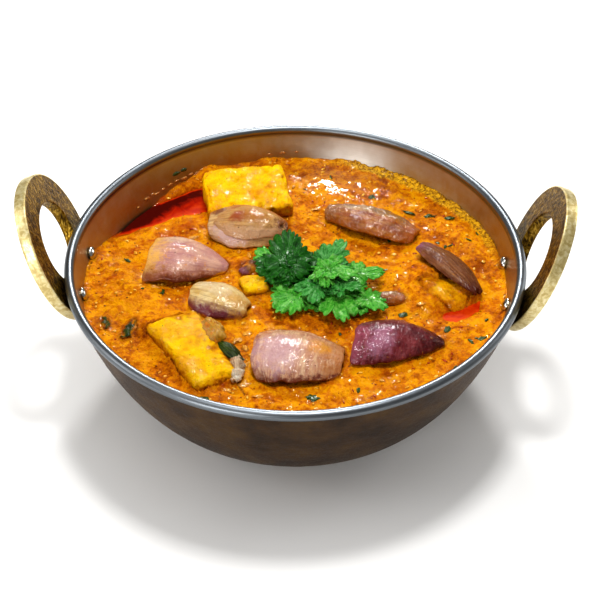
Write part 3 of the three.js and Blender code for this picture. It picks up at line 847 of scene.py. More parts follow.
@dataclass(frozen=True)
class OnionFinish:
    """Cooked onion: translucent flesh with veins, coloured ends and edges, and a wet blistered film."""

    name: str
    flesh: str
    vein: str
    pale: str
    veins: Axis = Axis.ALONG
    vein_count: float = 9.0
    vein_strength: float = 0.55
    accents: tuple[Accent, ...] = ()
    stains: tuple[Stain, ...] = ()
    roughness: tuple[float, float] = (0.3, 0.5)
    blisters: float = 0.45
    gloss: float = 0.6
    sauce: SauceColour = SauceColour()
    splash: float = 0.62
    stain_wander: float = 3.4
    stain_reach: float = 1.5

    def material(self) -> Material:
        """Makes the material.

        Returns:
            The material.
        """
        sheet = Sheet(self.name)
        along, across = sheet.trait("along"), sheet.trait("across")
        fast, slow = self.vein_count, self.vein_count * 0.12
        stretch = (slow, fast) if self.veins is Axis.ALONG else (fast, slow)
        strip = sheet.packed(sheet.times(along, stretch[0]), sheet.times(across, stretch[1]))
        veins = sheet.cloud(1.0, 4, 0.7, 0.25, place=strip)
        fine_veins = sheet.cloud(2.7, 2, 0.6, 0.1, place=strip)
        broad = sheet.cloud(0.17, 3, 0.6)
        blister = sheet.cloud(0.95, 4, 0.7, 0.4)
        grain = sheet.cloud(2.4, 2, 0.6)
        colour = sheet.mix(sheet.slope(broad, 0.35, 0.65), tint(self.flesh), tint(self.pale))
        broad_share = sheet.slope(veins, 0.47, 0.63, 0.0, self.vein_strength)
        fine_share = sheet.slope(fine_veins, 0.5, 0.66, 0.0, self.vein_strength * 0.7)
        colour = sheet.painted(sheet.painted(colour, broad_share, self.vein), fine_share, self.vein)
        wander = sheet.times(sheet.minus(sheet.cloud(0.4, 5, 0.75, 0.4), 0.5), 0.9)
        for accent in self.accents:
            trait = along if accent.axis is Axis.ALONG else across
            share = sheet.slope(sheet.plus(trait, wander), accent.start, accent.end, 0.0, accent.strength)
            colour = sheet.painted(colour, share, accent.colour)
        for stain in self.stains:
            ahead = sheet.reckon("DIVIDE", sheet.minus(along, stain.along), stain.length)
            aside = sheet.reckon("DIVIDE", sheet.minus(across, stain.across), stain.width)
            away = sheet.plus(sheet.times(ahead, ahead), sheet.times(aside, aside))
            away = sheet.plus(away, sheet.times(wander, self.stain_wander))
            share = sheet.slope(away, self.stain_reach, 0.0, 0.0, stain.strength)
            colour = sheet.painted(colour, share, stain.colour)
        splash = sheet.slope(sheet.cloud(0.42, 5, 0.75, 0.6), self.splash, self.splash + 0.1, 0, 0.85)
        coat = sheet.smaller(sheet.plus(sheet.trait("sauce"), splash), 0.92)
        colour = sheet.mix(coat, colour, self.sauce.mixed(sheet))
        dark = sheet.times(sheet.dots(0.5, 0.13, 0.3, sheet.warped(0.8, 0.6)), 0.75)
        colour = sheet.painted(colour, dark, self.sauce.speck)
        sheet.set(Base_Color=colour, Roughness=sheet.slope(grain, *NOISE_SPAN, *self.roughness),
                  Specular_IOR_Level=0.06, Subsurface_Weight=0.12, Subsurface_Scale=0.0015,
                  Subsurface_Radius=(1.0, 0.6, 0.4))
        sheet.relief((blister, self.blisters), (veins, 0.18), (grain, 0.1))
        wet = sheet.slope(sheet.cloud(0.5, 4, 0.7, 0.5), 0.4, 0.56, 0.35 * self.gloss, 1.7 * self.gloss)
        sheet.film(wet, 1.35, self.blisters * 0.5, 0.05)
        return sheet.material


@dataclass(frozen=True)
class LeafFinish:
    """Leaf: mottled, with pale veins, painted shade along its pleats and a patchy wet film."""

    name: str
    dark: str
    body: str
    bloom: str
    vein: str
    roughness: tuple[float, float] = (0.3, 0.5)

    def material(self) -> Material:
        """Makes the material.

        Returns:
            The material.
        """
        sheet = Sheet(self.name)
        patch = sheet.cloud(0.6, 5, 0.72, 0.6)
        grain = sheet.cloud(2.6, 3, 0.65)
        tone = sheet.weighed((patch, 0.68), (grain, 0.32))
        colour = sheet.shades(tone, (0.38, self.dark), (0.48, self.body), (0.62, self.bloom))
        # Painted shade: darker colour in the creases of the fine pleats that the rib trait traces.
        colour = sheet.painted(colour, sheet.slope(sheet.trait("rib"), 0.0, 1.0, 0.2, 0.0), self.dark)
        colour = sheet.painted(colour, sheet.times(sheet.trait("vein"), 0.08), self.vein)
        sheet.set(Base_Color=colour, Roughness=sheet.slope(grain, *NOISE_SPAN, *self.roughness),
                  Specular_IOR_Level=0.15, Subsurface_Weight=0.1, Subsurface_Scale=0.0008,
                  Subsurface_Radius=(0.4, 1.0, 0.2))
        sheet.relief((grain, 0.2), (patch, 0.4), (sheet.trait("rib"), 0.14))
        sheet.film(sheet.slope(patch, 0.45, 0.6, 0.06, 0.5), 1.3, 0.22, 0.09)
        return sheet.material


@dataclass(frozen=True)
class BitFinish:
    """Small bits in the sauce: herbs, spices, crumbs and droplets."""

    name: str
    dark: str
    light: str
    roughness: float = 0.3
    grain: float = 2.2
    gloss: float = 0.8

    def material(self) -> Material:
        """Makes the material.

        Returns:
            The material.
        """
        sheet = Sheet(self.name)
        mottle = sheet.cloud(self.grain, 3, 0.7)
        sheet.set(Base_Color=sheet.shades(mottle, (0.38, self.dark), (0.64, self.light)),
                  Roughness=self.roughness, Specular_IOR_Level=0.2)
        sheet.relief((mottle, 0.15))
        sheet.film(self.gloss, 0.9, 0.3)
        return sheet.material


# ---------------- finishing a piece


def finish_piece(name: str, bm: BMesh, finishes: Sequence[Material],
                 stands_for: Iterable[str] = (), crease: float = 180.0) -> bpy.types.Object:
    """Turns a mesh in millimetres into a piece of the dish.

    Args:
        name: The piece's name.
        bm: Its mesh, which is used up.
        finishes: Its materials, in the order of its faces' material numbers.
        stands_for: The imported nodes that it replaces.
        crease: The angle in degrees from which an edge is drawn sharp.

    Returns:
        The piece, riding on the dish's one body.
    """
    bmesh.ops.scale(bm, vec=(MILLIMETRE,) * 3, verts=bm.verts)
    mesh = baked(name, bm)
    for material in finishes:
        mesh.materials.append(material)
    mesh.shade_smooth()
    if crease < 180:
        mesh.set_sharp_from_angle(angle=radians(crease))
    piece = linked(name, mesh)
    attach(piece, "root")
    if stands_for:
        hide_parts(*stands_for)
    LOG.info("%s: %d faces", name, len(mesh.polygons))
    return piece


# ---------------- bowl


@dataclass(frozen=True)
class Wall:
    """The curve that the bowl's wall follows, as radius and height of its outer face."""

    rim_height: float = 52.0
    lip_radius: float = 75.0
    foot_radius: float = 31.0
    depth_power: float = 1.2
    round_power: float = 2.47
    jacket: float = 0.6
    liner: float = 0.7

    @property
    def inner(self) -> float:
        """How far the liner's inner face lies inside the jacket's outer one."""
        return self.jacket + GAP + self.liner

    def curve(self, turn: float) -> tuple[float, float]:
        """Gives the outer face.

        Args:
            turn: From 0 at the foot to 1 at the rim.

        Returns:
            The radius and the height.
        """
        angle = turn * pi / 2
        reach = sin(angle) ** (2 / self.round_power)
        depth = max(0.0, cos(angle)) ** (2 / self.depth_power)
        return self.foot_radius + (self.lip_radius - self.foot_radius) * reach, self.rim_height * (1 - depth)

    def point(self, turn: float, inset: float) -> tuple[float, float]:
        """Gives the wall, moved inward square to itself.

        Args:
            turn: From 0 at the foot to 1 at the rim.
            inset: How far it is moved.

        Returns:
            The radius and the height.
        """
        if turn <= 0:
            return self.foot_radius, inset
        step = 0.002
        (r0, z0), (r1, z1) = self.curve(max(0.0, turn - step)), self.curve(min(1.0, turn + step))
        length = hypot(r1 - r0, z1 - z0)
        radius, height = self.curve(turn)
        return radius - inset * (z1 - z0) / length, height + inset * (r1 - r0) / length

    def run(self, inset: float, top: float, steps: int = 44) -> list[tuple[float, float]]:
        """Radius and height pairs from the axis up the wall to a turn."""
        return [(0.0, inset)] + [self.point(top * (i / steps) ** 1.2, inset) for i in range(steps + 1)]

    def radius(self, height: float, inset: float) -> float:
        """Finds the wall at a height.

        Args:
            height: The height.
            inset: How far the wall is moved inward.

        Returns:
            Its radius there.
        """
        low, high = 0.0, 1.0
        for _ in range(22):
            middle = (low + high) / 2
            low, high = (middle, high) if self.point(middle, inset)[1] < height else (low, middle)
        return self.point(low, inset)[0]


@dataclass(frozen=True)
class Bowl:
    """The bowl: a steel liner with a rolled rim inside a hammered bronze jacket."""

    wall: Wall
    bead_radius: float = 1.65
    bead_centre: float = 74.55
    bead_from: float = 250.0
    bead_to: float = 575.0
    liner_top: float = 0.92
    jacket_top: float = 0.9
    steps: int = 288
    bead_steps: int = 22
    mark_depth: float = 0.16
    mark_size: float = 3.4
    # The patch at the back with almost no oil film is a painted highlight.
    highlight_middle: float = 76.0
    highlight_half: float = 13.0
    least_stain: float = 0.08
    stain_top: float = 51.0
    stain_radius: float = 73.0
    skin: float = 0.2
    mark_span: tuple[float, float] = (2.0, 6.0)
    jacket_runs: int = 60
    crease: float = 50.0

    def build(self) -> None:
        """Makes the liner and the jacket."""
        self.build_liner()
        self.build_jacket()

    def build_liner(self) -> None:
        """Turns the liner and its rolled rim in one piece."""
        bead = []
        for i in range(self.bead_steps + 1):
            angle = radians(self.bead_from + (self.bead_to - self.bead_from) * i / self.bead_steps)
            bead.append((self.bead_centre + self.bead_radius * cos(angle),
                         self.wall.rim_height + self.bead_radius * sin(angle)))
        outside = self.wall.run(self.wall.jacket + GAP, self.liner_top)
        inside = self.wall.run(self.wall.inner, self.liner_top)
        bm = revolve([*outside, *bead, *reversed(inside)], self.steps)
        layer = bm.verts.layers.float.new("stained")
        for vert in bm.verts:
            edge = self.stain_radius
            if vert.co.z < self.stain_top:
                edge = self.wall.radius(vert.co.z, self.wall.inner - self.skin)
            angle = degrees(atan2(vert.co.y, vert.co.x))
            vert[layer] = self.stained(angle) if hypot(vert.co.x, vert.co.y) < edge else 0.0
        steel = SteelFinish().material()
        finish_piece("kadai_liner", bm, [steel], ["steel_liner"], self.crease)

    def stained(self, angle: float) -> float:
        """Tells how much oil film colours the inner wall: least on a patch at the back, a painted highlight
        of bare bright steel.

        Args:
            angle: The turn round the bowl, in degrees.

        Returns:
            A share from 0 to 1.
        """
        turned = (angle - self.highlight_middle + 180) % 360 - 180
        share = ease(abs(turned), self.highlight_half * 0.6, self.highlight_half * 1.6)
        return self.least_stain + (1 - self.least_stain) * share

    def build_jacket(self) -> None:
        """Turns the jacket and beats its outer face."""
        wall = self.wall
        outside = wall.run(0.0, self.jacket_top, self.jacket_runs)
        inside = wall.run(wall.jacket, self.jacket_top, self.jacket_runs)
        bm = revolve([*outside, *reversed(inside)], self.steps)
        for vert in bm.verts:
            if vert.co.z < self.mark_span[0] or vert.normal.z > 0.2:
                continue
            near = noise.voronoi(vert.co / self.mark_size)[0][0]
            fade = ease(vert.co.z, *self.mark_span)
            vert.co -= vert.normal * self.mark_depth * fade * (1 - ease(near, 0.0, 0.6))
        finish_piece("kadai_jacket", bm, [BronzeFinish().material()], ["bronze_jacket"],
                     self.crease)


class Side(Enum):
    """The two sides of the bowl, as the turn from the right one."""

    right = 0.0
    left = 180.0


HAMMERED_BRASS = BrassFinish("hammered_brass", "#3a2806", "#7c5c12", "#cca848", 0.3, (0.3, 0.5))
POLISHED_BRASS = BrassFinish("polished_brass", "#c6ae70", "#e0ce94", "#f4e8c0", 0.05, (0.28, 0.42),
                             (0.6, 0.6, 0.6), 0.7)


@dataclass(frozen=True)
class RingHandle:
    """A flat oval ring that leans outward, seated against the bowl, with a hammered face."""

    wall: Wall
    lean: float = 22.0
    face: tuple[float, float, float] = (76.95, 0.0, 54.9)
    half: tuple[float, float] = (22.8, 26.0)
    hole: tuple[float, float] = (13.2, 13.8)
    hole_rise: float = 2.0
    thickness: float = 4.1
    rounding: float = 0.5
    around: int = 200
    over: int = 22
    through: int = 5
    corner: float = 0.3
    band_width: float = 10.0
    edge_from: float = 0.955
    stroke_depth: float = 0.2
    crease: float = 42.0
    seat_top: float = 0.96
    seat_runs: int = 50
    seat_steps: int = 288

    def place(self) -> Matrix:
        """Gives the ring's frame.

        Returns:
            X across, Y up its face and Z out through its thickness.
        """
        lean = radians(self.lean)
        across, up = Vector((0, 1, 0)), Vector((sin(lean), 0, cos(lean)))
        out = Vector((cos(lean), 0, -sin(lean)))
        turn = Matrix((across, up, out)).transposed().to_4x4()
        return Matrix.Translation(self.face) @ turn

    def section(self) -> list[tuple[float, float]]:
        """Gives the band's section.

        Returns:
            Shares from 0 to 1 across the band, with the depth through it.
        """
        soft = self.rounding / self.band_width
        face = [soft + (1 - 2 * soft) * i / self.over for i in range(self.over + 1)]
        straight = self.thickness - 2 * self.rounding
        side = [self.rounding + straight * i / self.through for i in range(self.through + 1)]
        across, through = soft * self.corner, self.rounding * self.corner
        low = [(s, 0.0) for s in face]
        right = [(1 - across, through), *((1.0, h) for h in side), (1 - across, self.thickness - through)]
        high = [(s, self.thickness) for s in reversed(face)]
        left = [(across, self.thickness - through), *((0.0, h) for h in reversed(side)), (across, through)]
        return [*low, *right, *high, *left]

    def band(self) -> BMesh:
        """Spins the section into a ring and stretches it into the oval band.

        Returns:
            The band, in the ring's frame.
        """
        bm = spun([(1 + s, h) for s, h in self.section()], self.around, 1e-5, closed=True)
        bmesh.ops.recalc_face_normals(bm, faces=bm.faces)
        for face in bm.faces:
            spread = hypot(*face.calc_center_median().xy) - 1
            face.material_index = 1 if spread > self.edge_from else 0
        for vert in bm.verts:
            share = hypot(vert.co.x, vert.co.y) - 1
            angle = atan2(vert.co.y, vert.co.x)
            inner = Vector((self.hole[0] * cos(angle), self.hole[1] * sin(angle) + self.hole_rise))
            outer = Vector((self.half[0] * cos(angle), self.half[1] * sin(angle)))
            spot = inner.lerp(outer, share)
            depth = vert.co.z
            onto = ease(share, 0.0, 0.12) * ease(share, 1.0, 0.9)
            stroke = ripple(angle * 9, share * 11, depth) + 0.6 * ripple(angle * 21, share * 20, 5 + depth)
            dent = self.stroke_depth * onto * (0.5 + 0.5 * stroke)
            if depth < 0.01:
                depth += dent
            elif depth > self.thickness - 0.01:
                depth -= dent
            vert.co = (spot.x, spot.y, depth)
        return bm

    def build(self, side: Side, seat: bpy.types.Object) -> None:
        """Makes one handle.

        Args:
            side: Which side of the bowl it is on.
            seat: The space of the bowl, which is cut out of it.
        """
        bm = self.band()
        turn = Matrix.Rotation(radians(side.value), 4, "Z")
        bmesh.ops.transform(bm, matrix=turn @ self.place(), verts=bm.verts)
        name = f"ring_handle_{side.name}"
        rough = linked(name + "_rough", baked(name + "_rough", bm))
        trim = rough.modifiers.new("seat", "BOOLEAN")
        trim.operation, trim.object, trim.solver = "DIFFERENCE", seat, "EXACT"
        bpy.context.view_layer.update()
        graph = bpy.context.evaluated_depsgraph_get()
        trimmed = bpy.data.meshes.new_from_object(rough.evaluated_get(graph))
        bm = bmesh.new()
        bm.from_mesh(trimmed)
        bpy.data.objects.remove(rough)
        bpy.data.meshes.remove(trimmed)
        brass = [HAMMERED_BRASS.material(), POLISHED_BRASS.material()]
        finish_piece(name, bm, brass, [f"handle_{side.name}"], self.crease)

    def seat(self) -> bpy.types.Object:
        """Makes the space that the bowl fills, with a gap round it.

        Returns:
            The space.
        """
        run = self.wall.run(-GAP, self.seat_top, self.seat_runs)
        bm = revolve([*run, (0.0, run[-1][1])], self.seat_steps)
        return linked("bowl_space", baked("bowl_space", bm))


RIVET_STEEL = SteelFinish(name="rivet_steel", bright="#dcdbd6", dull="#bab8b2", roughness=(0.1, 0.18))


@dataclass(frozen=True)
class Rivet:
    """A rivet with a domed head on either side of the wall and the handle."""

    wall: Wall
    handle: RingHandle
    height: float = 42.9
    swing: float = 8.7
    shank: float = 1.3
    head: float = 2.45
    dome: float = 1.3
    seat: float = 0.55
    steps: int = 28
    crease: float = 50.0

    def place(self, swing: float) -> Matrix:
        """Gives the rivet's frame.

        Args:
            swing: Its turn from the handle's middle, in degrees.

        Returns:
            The frame, whose Z runs out through the wall from its inner face.
        """
        angle = radians(swing)
        radius = self.wall.radius(self.height, self.wall.inner)
        slope = radius - self.wall.radius(self.height - 1, self.wall.inner)
        out = Vector((cos(angle), sin(angle), -slope)).normalized()
        spot = (radius * cos(angle), radius * sin(angle), self.height)
        return Matrix.Translation(spot) @ out.to_track_quat("Z", "Y").to_matrix().to_4x4()

    def build(self, side: Side, spot: str, swing: float, contacts: Contacts) -> None:
        """Makes one rivet.

        Args:
            side: Which handle it holds.
            spot: Its name on that handle.
            swing: Its turn from the handle's middle.
            contacts: What the sauce meets, which the rivet joins.
        """
        place = self.place(swing)
        face, normal = Vector(self.handle.face), self.handle.place().to_3x3() @ Vector((0, 0, 1))
        axis = place.to_3x3() @ Vector((0, 0, 1))
        far = ((face - place.translation).dot(normal) + self.handle.thickness) / axis.dot(normal) + self.seat
        near = -self.seat
        turns = [radians(angle) for angle in range(0, 90, 10)]
        arc = [(self.head * cos(turn), self.dome * sin(turn)) for turn in turns]
        inside = [(0.0, near - self.dome)] + [(r, near - h) for r, h in reversed(arc)]
        outside = [(r, far + h) for r, h in arc] + [(0.0, far + self.dome)]
        bm = revolve([*inside, (self.shank, near), (self.shank, far), *outside], self.steps)
        turn = Matrix.Rotation(radians(side.value), 4, "Z")
        bmesh.ops.transform(bm, matrix=turn @ place, verts=bm.verts)
        contacts.add(bm)
        name = f"rivet_{side.name}_{spot}"
        finish_piece(f"domed_{name}", bm, [RIVET_STEEL.material()], [name], self.crease)


# ---------------- curry


@dataclass(frozen=True)
class Swell:
    """A broad rise or dip of the sauce."""

    x: float
    y: float
    reach: float
    rise: float
    yaw: float = 0.0
    squash: float = 1.0

    def lift(self, x: float, y: float) -> float:
        """How far it lifts a place."""
        half = (self.reach, self.reach * self.squash)
        return self.rise * hill(x, y, (self.x, self.y), half, self.yaw)


@dataclass(frozen=True)
class Streak:
    """A streak of red oil on the sauce, lying along its own direction."""

    x: float
    y: float
    length: float
    width: float
    yaw: float
    strength: float = 0.8

    def share(self, x: float, y: float) -> float:
        """How strongly the streak colours a place."""
        return self.strength * hill(x, y, (self.x, self.y), (self.length, self.width), self.yaw)


@dataclass(frozen=True)
class Sauce:
    """The curry's surface: its level, swells, lumps and small curds."""

    wall: Wall
    level: float = 41.4
    swells: tuple[Swell, ...] = (
        Swell(38, 2, 10, 3.4), Swell(-17, 8, 8, 1.6), Swell(-52, -10, 12, 0.8), Swell(8, 48, 14, 1.2),
        Swell(50, 24, 12, 0.8), Swell(52, -40, 12, -0.8), Swell(-44, -46, 14, -1.4),
        Swell(54.5, -12.0, 9.0, -2.7, 26, 0.36), Swell(-46.5, -23.5, 4.5, 2.0),
        Swell(44.5, 3.8, 5.5, 2.6, -34, 0.9), Swell(44, -9, 5, 1.3, -34, 0.8),
    )
    pool_middle: float = 141.0
    pool_half: float = 23.0
    pool_shore: float = 52.2
    pool_turn: float = 0.5
    pool_slope: float = 11.0
    pool_bank: float = 3.8
    pool_depth: float = 5.4
    pool_level: float = 38.3
    bank_radii: tuple[float, float] = (65.2, 68.6)
    bank_start: tuple[float, float] = (112, 120)
    bank_end: tuple[float, float] = (146, 128)
    froth_start: tuple[float, float] = (8, 24)
    froth_end: tuple[float, float] = (88, 70)
    glare: Streak = Streak(14.5, 57.5, 14, 8, -8, 1.5)
    streaks: tuple[Streak, ...] = (
        Streak(-60, -0.5, 5, 1.1, -5, 0.9), Streak(-56, 15, 7, 2, 40, 0.5),
        Streak(-29, -45, 8, 1.1, -38, 1.0), Streak(18, -27, 8, 2.6, -62, 0.75),
        Streak(22, -50, 11, 0.9, -4, 0.7), Streak(2, -55, 9, 1.0, 10, 0.5),
        Streak(-36, 33, 16, 2.4, 42, 0.8), Streak(58, -12, 8, 3, 20, 0.7),
        Streak(-21.5, -50.5, 7, 1.3, -28, 0.9), Streak(5, 26, 9, 2.5, -30, 0.45),
        Streak(30, 17, 12, 2.0, -22, 0.5), Streak(-6, -16, 7, 2.4, -20, 0.6),
        Streak(-42, -22, 9, 2.0, 60, 0.35), Streak(54.5, -12, 9, 2.6, 26, 0.95),
        Streak(-53, 7, 4, 1.6, 30, 0.7), Streak(-55.7, 15, 4, 1.5, 70, 0.7),
        Streak(-31, -10, 5, 1.6, -20, 0.7), Streak(10, 40, 9, 2.4, -30, 0.6),
        Streak(36, -41, 9, 2.2, 15, 0.4), Streak(-47, 22, 10, 2.2, 20, 0.5),
    )

    def height(self, x: float, y: float) -> float:
        """Gives the surface without its small curds.

        Args:
            x: The place's X.
            y: The place's Y.

        Returns:
            Its height.
        """
        height = self.level
        height += sum(swell.lift(x, y) for swell in self.swells)
        angle, radius = degrees(atan2(y, x)), hypot(x, y)
        swing = (angle - self.pool_middle) / self.pool_half
        shore = self.pool_shore + self.pool_turn * (angle - self.pool_middle)
        inward = ease(radius, shore, shore + self.pool_slope)
        height -= self.pool_depth * exp(-(swing ** 4)) * inward
        bank = ease(radius, *self.bank_radii) * ease(angle, *self.bank_start) * ease(angle, *self.bank_end)
        height += self.pool_bank * bank
        lumps = sin(0.42 * x + 0.9) * cos(0.38 * y - 0.4) + 0.6 * sin(0.21 * (x + y) + 2)
        return height + 0.35 * lumps

    def curds(self, x: float, y: float) -> float:
        """Gives the small relief: curds and grain.

        Args:
            x: The place's X.
            y: The place's Y.

        Returns:
            How far it lifts the place.
        """
        coarse = 0.5 * ripple(0.26 * x, 0.26 * y, 3)
        middle = 0.26 * ripple(0.6 * x, 0.6 * y, 8) + 0.14 * abs(ripple(0.45 * x, 0.45 * y, 15))
        return coarse + middle + 0.07 * ripple(1.5 * x, 1.5 * y, 21)

    def top(self, x: float, y: float) -> float:
        """Height of the surface with its curds."""
        return self.height(x, y) + self.curds(x, y)

    def oil_level(self, x: float, y: float) -> float:
        """The level of the back oil pool where it may lie, and zero elsewhere."""
        return self.pool_level if x < -20 and y > 15 and hypot(x, y) > 50 else 0.0

    def pool_edge(self, x: float, y: float) -> float:
        """How much red oil soaks the sauce round the back pool."""
        above = self.height(x, y) - self.pool_level
        return 0.9 * ease(above + 0.4 * ripple(0.4 * x, 0.4 * y, 33), 0.9, 0.1)

    def froth(self, x: float, y: float, shore: float) -> float:
        """Tells how frothy a place is: a band along the wall at the back right.

        Args:
            x: The place's X.
            y: The place's Y.
            shore: The radius of the surface's edge there.

        Returns:
            A share from 0 to 1.
        """
        angle = degrees(atan2(y, x))
        sweep = ease(angle, *self.froth_start) * ease(angle, *self.froth_end)
        width = 2.6 + 1.7 * ease(angle, 20, 45) * ease(angle, 84, 64) + 1.1 * ripple(0.3 * x, 0.3 * y, 30)
        return sweep * ease(shore - hypot(x, y), width + 0.8, width - 0.8)


@dataclass
class Curry:
    """The curry in the bowl, one closed piece up to the level shown."""

    sauce: Sauce
    contacts: Contacts
    cells: int = 276
    underside: int = 9
    wall_grip: float = 0.12
    climb: float = 0.75
    shores: list[float] = field(default_factory=list)

    def shore(self, angle: float) -> float:
        """Finds where the surface meets the wall.

        Args:
            angle: The turn round the bowl.

        Returns:
            The radius.
        """
        wall = self.sauce.wall
        radius = wall.radius(self.sauce.level, wall.inner)
        for _ in range(4):
            spot = self.sauce.height(radius * cos(angle), radius * sin(angle)) + self.climb
            radius = wall.radius(spot, wall.inner)
        return radius + self.wall_grip

    def shore_at(self, angle: float) -> float:
        """Reads the shore between stored angles.

        Args:
            angle: The turn round the bowl.

        Returns:
            The radius.
        """
        if not self.shores:
            self.shores = [self.shore(TURN * i / 360) for i in range(360)]
        spot = (angle % TURN) / TURN * 360
        low = int(spot) % 360
        share = spot - int(spot)
        return self.shores[low] * (1 - share) + self.shores[(low + 1) % 360] * share

    def build(self) -> None:
        """Makes the surface from a grid pressed into the bowl's round, then the underside."""
        sauce, bm = self.sauce, bmesh.new()
        bmesh.ops.create_grid(bm, x_segments=self.cells, y_segments=self.cells, size=1.0)
        names = ("oiled", "froth", "shaded", "glare")
        oiled, froth, shaded, glare = (bm.verts.layers.float.new(name) for name in names)
        for vert in bm.verts:
            u, v, _ = vert.co
            reach = max(abs(u), abs(v))
            if abs(u) >= abs(v):
                angle = pi / 4 * (v / u) if u else 0.0
                angle += 0.0 if u > 0 else pi
            else:
                angle = pi / 2 - pi / 4 * (u / v)
                angle += 0.0 if v > 0 else pi
            shore = self.shore_at(angle)
            x, y = shore * reach * cos(angle), shore * reach * sin(angle)
            spot = Vector((x, y, sauce.height(x, y)))
            frothy = sauce.froth(x, y, shore)
            limit = 5.0
            away, climb = self.contacts.reach(spot, limit)
            vert[glare] = min(1.0, sauce.glare.share(x, y))
            spot.z += sauce.curds(x, y) * ease(away, -0.5, 1.5) * (1 - 0.6 * vert[glare])
            spot.z += self.climb * exp(-(shore - shore * reach) / 1.1)
            if 0 <= away < limit:
                ragged = 0.75 + 0.5 * ripple(0.35 * x, 0.35 * y, 70)
                spot.z += climb * ragged * exp(-away / (0.6 + 0.4 * climb))
            spot.z += frothy * (0.8 * abs(ripple(0.6 * x, 0.6 * y, 40)) + 0.2)
            vert.co = spot
            red = sum(streak.share(x, y) for streak in sauce.streaks) * (0.6 + 0.8 * ripple(x, y, 50))
            vert[oiled] = min(1.0, max(red, sauce.pool_edge(x, y)))
            vert[froth] = frothy
            # Painted shade: the sauce is darkened where it meets the wall and round each piece, more weakly
            # round paneer.
            rim = 0.55 * exp(-(shore - shore * reach) / 0.5)
            line = (0.8 if climb < 1 else 0.3) * exp(-max(away, 0.0) / 0.55)
            vert[shaded] = min(1.0, rim + (line if away < limit else 0.0))
        self.close(bm)
        finish_piece("curry_sauce", bm, [CurryFinish().material()], ["curry"])

    def close(self, bm: BMesh) -> None:
        """Draws the surface's edge down along the wall and shuts it at the foot.

        Args:
            bm: The surface.
        """
        wall = self.sauce.wall
        edges = [edge for edge in bm.edges if edge.is_boundary]
        for step in range(1, self.underside + 1):
            grown = bmesh.ops.extrude_edge_only(bm, edges=edges)["geom"]
            edges = [item for item in grown if isinstance(item, bmesh.types.BMEdge) and item.is_boundary]
            verts = [item for item in grown if isinstance(item, bmesh.types.BMVert)]
            share = 1 - step / self.underside
            for vert in verts:
                angle = atan2(vert.co.y, vert.co.x)
                height = wall.inner + GAP + (self.sauce.level - 6 - wall.inner - GAP) * share ** 1.5
                radius = wall.radius(height, wall.inner + GAP)
                vert.co = (radius * cos(angle), radius * sin(angle), height)
        bmesh.ops.contextual_create(bm, geom=edges)
        bmesh.ops.recalc_face_normals(bm, faces=bm.faces)


@dataclass(frozen=True)
class OilPool:
    """Red oil lying in a hollow of the curry, level on top, its underside sunk in the sauce."""

    name: str
    node: str
    sauce: Sauce
    level: float
    angles: tuple[float, float]
    radii: tuple[float, float]
    cells: tuple[int, int]
    depth: float = 1.6

    def build(self) -> None:
        """Makes the pool from a grid bent round the bowl's middle line."""
        bm = bmesh.new()
        bmesh.ops.create_grid(bm, x_segments=self.cells[0], y_segments=self.cells[1], size=1.0)
        for vert in bm.verts:
            share_a, share_r = (vert.co.x + 1) / 2, (vert.co.y + 1) / 2
            angle = radians(self.angles[0] + (self.angles[1] - self.angles[0]) * share_a)
            radius = self.radii[0] + (self.radii[1] - self.radii[0]) * share_r
            vert.co = (radius * cos(angle), radius * sin(angle), self.level)
        grown = bmesh.ops.extrude_face_region(bm, geom=bm.faces[:])["geom"]
        for item in grown:
            if isinstance(item, bmesh.types.BMVert):
                item.co.z = min(self.level, self.sauce.height(item.co.x, item.co.y)) - self.depth
        bmesh.ops.recalc_face_normals(bm, faces=bm.faces)
        deep = bm.verts.layers.float.new("depth")
        for vert in bm.verts:
            under = self.level - self.sauce.height(vert.co.x, vert.co.y)
            # Painted shade: the depth trait also darkens the oil towards the wall, besides where it is deep.
            outward = ease(hypot(vert.co.x, vert.co.y), 58.0, 67.0)
            vert[deep] = ease(under, 0.0, 1.4) * (0.3 + 0.7 * outward)
            if vert.co.z > self.level - 0.01:
                vert.co.z += 0.05 * ripple(0.25 * vert.co.x, 0.25 * vert.co.y, 60)
        finish_piece(self.name, bm, [OilFinish().material()], [self.node], 60)


# ---------------- food pieces


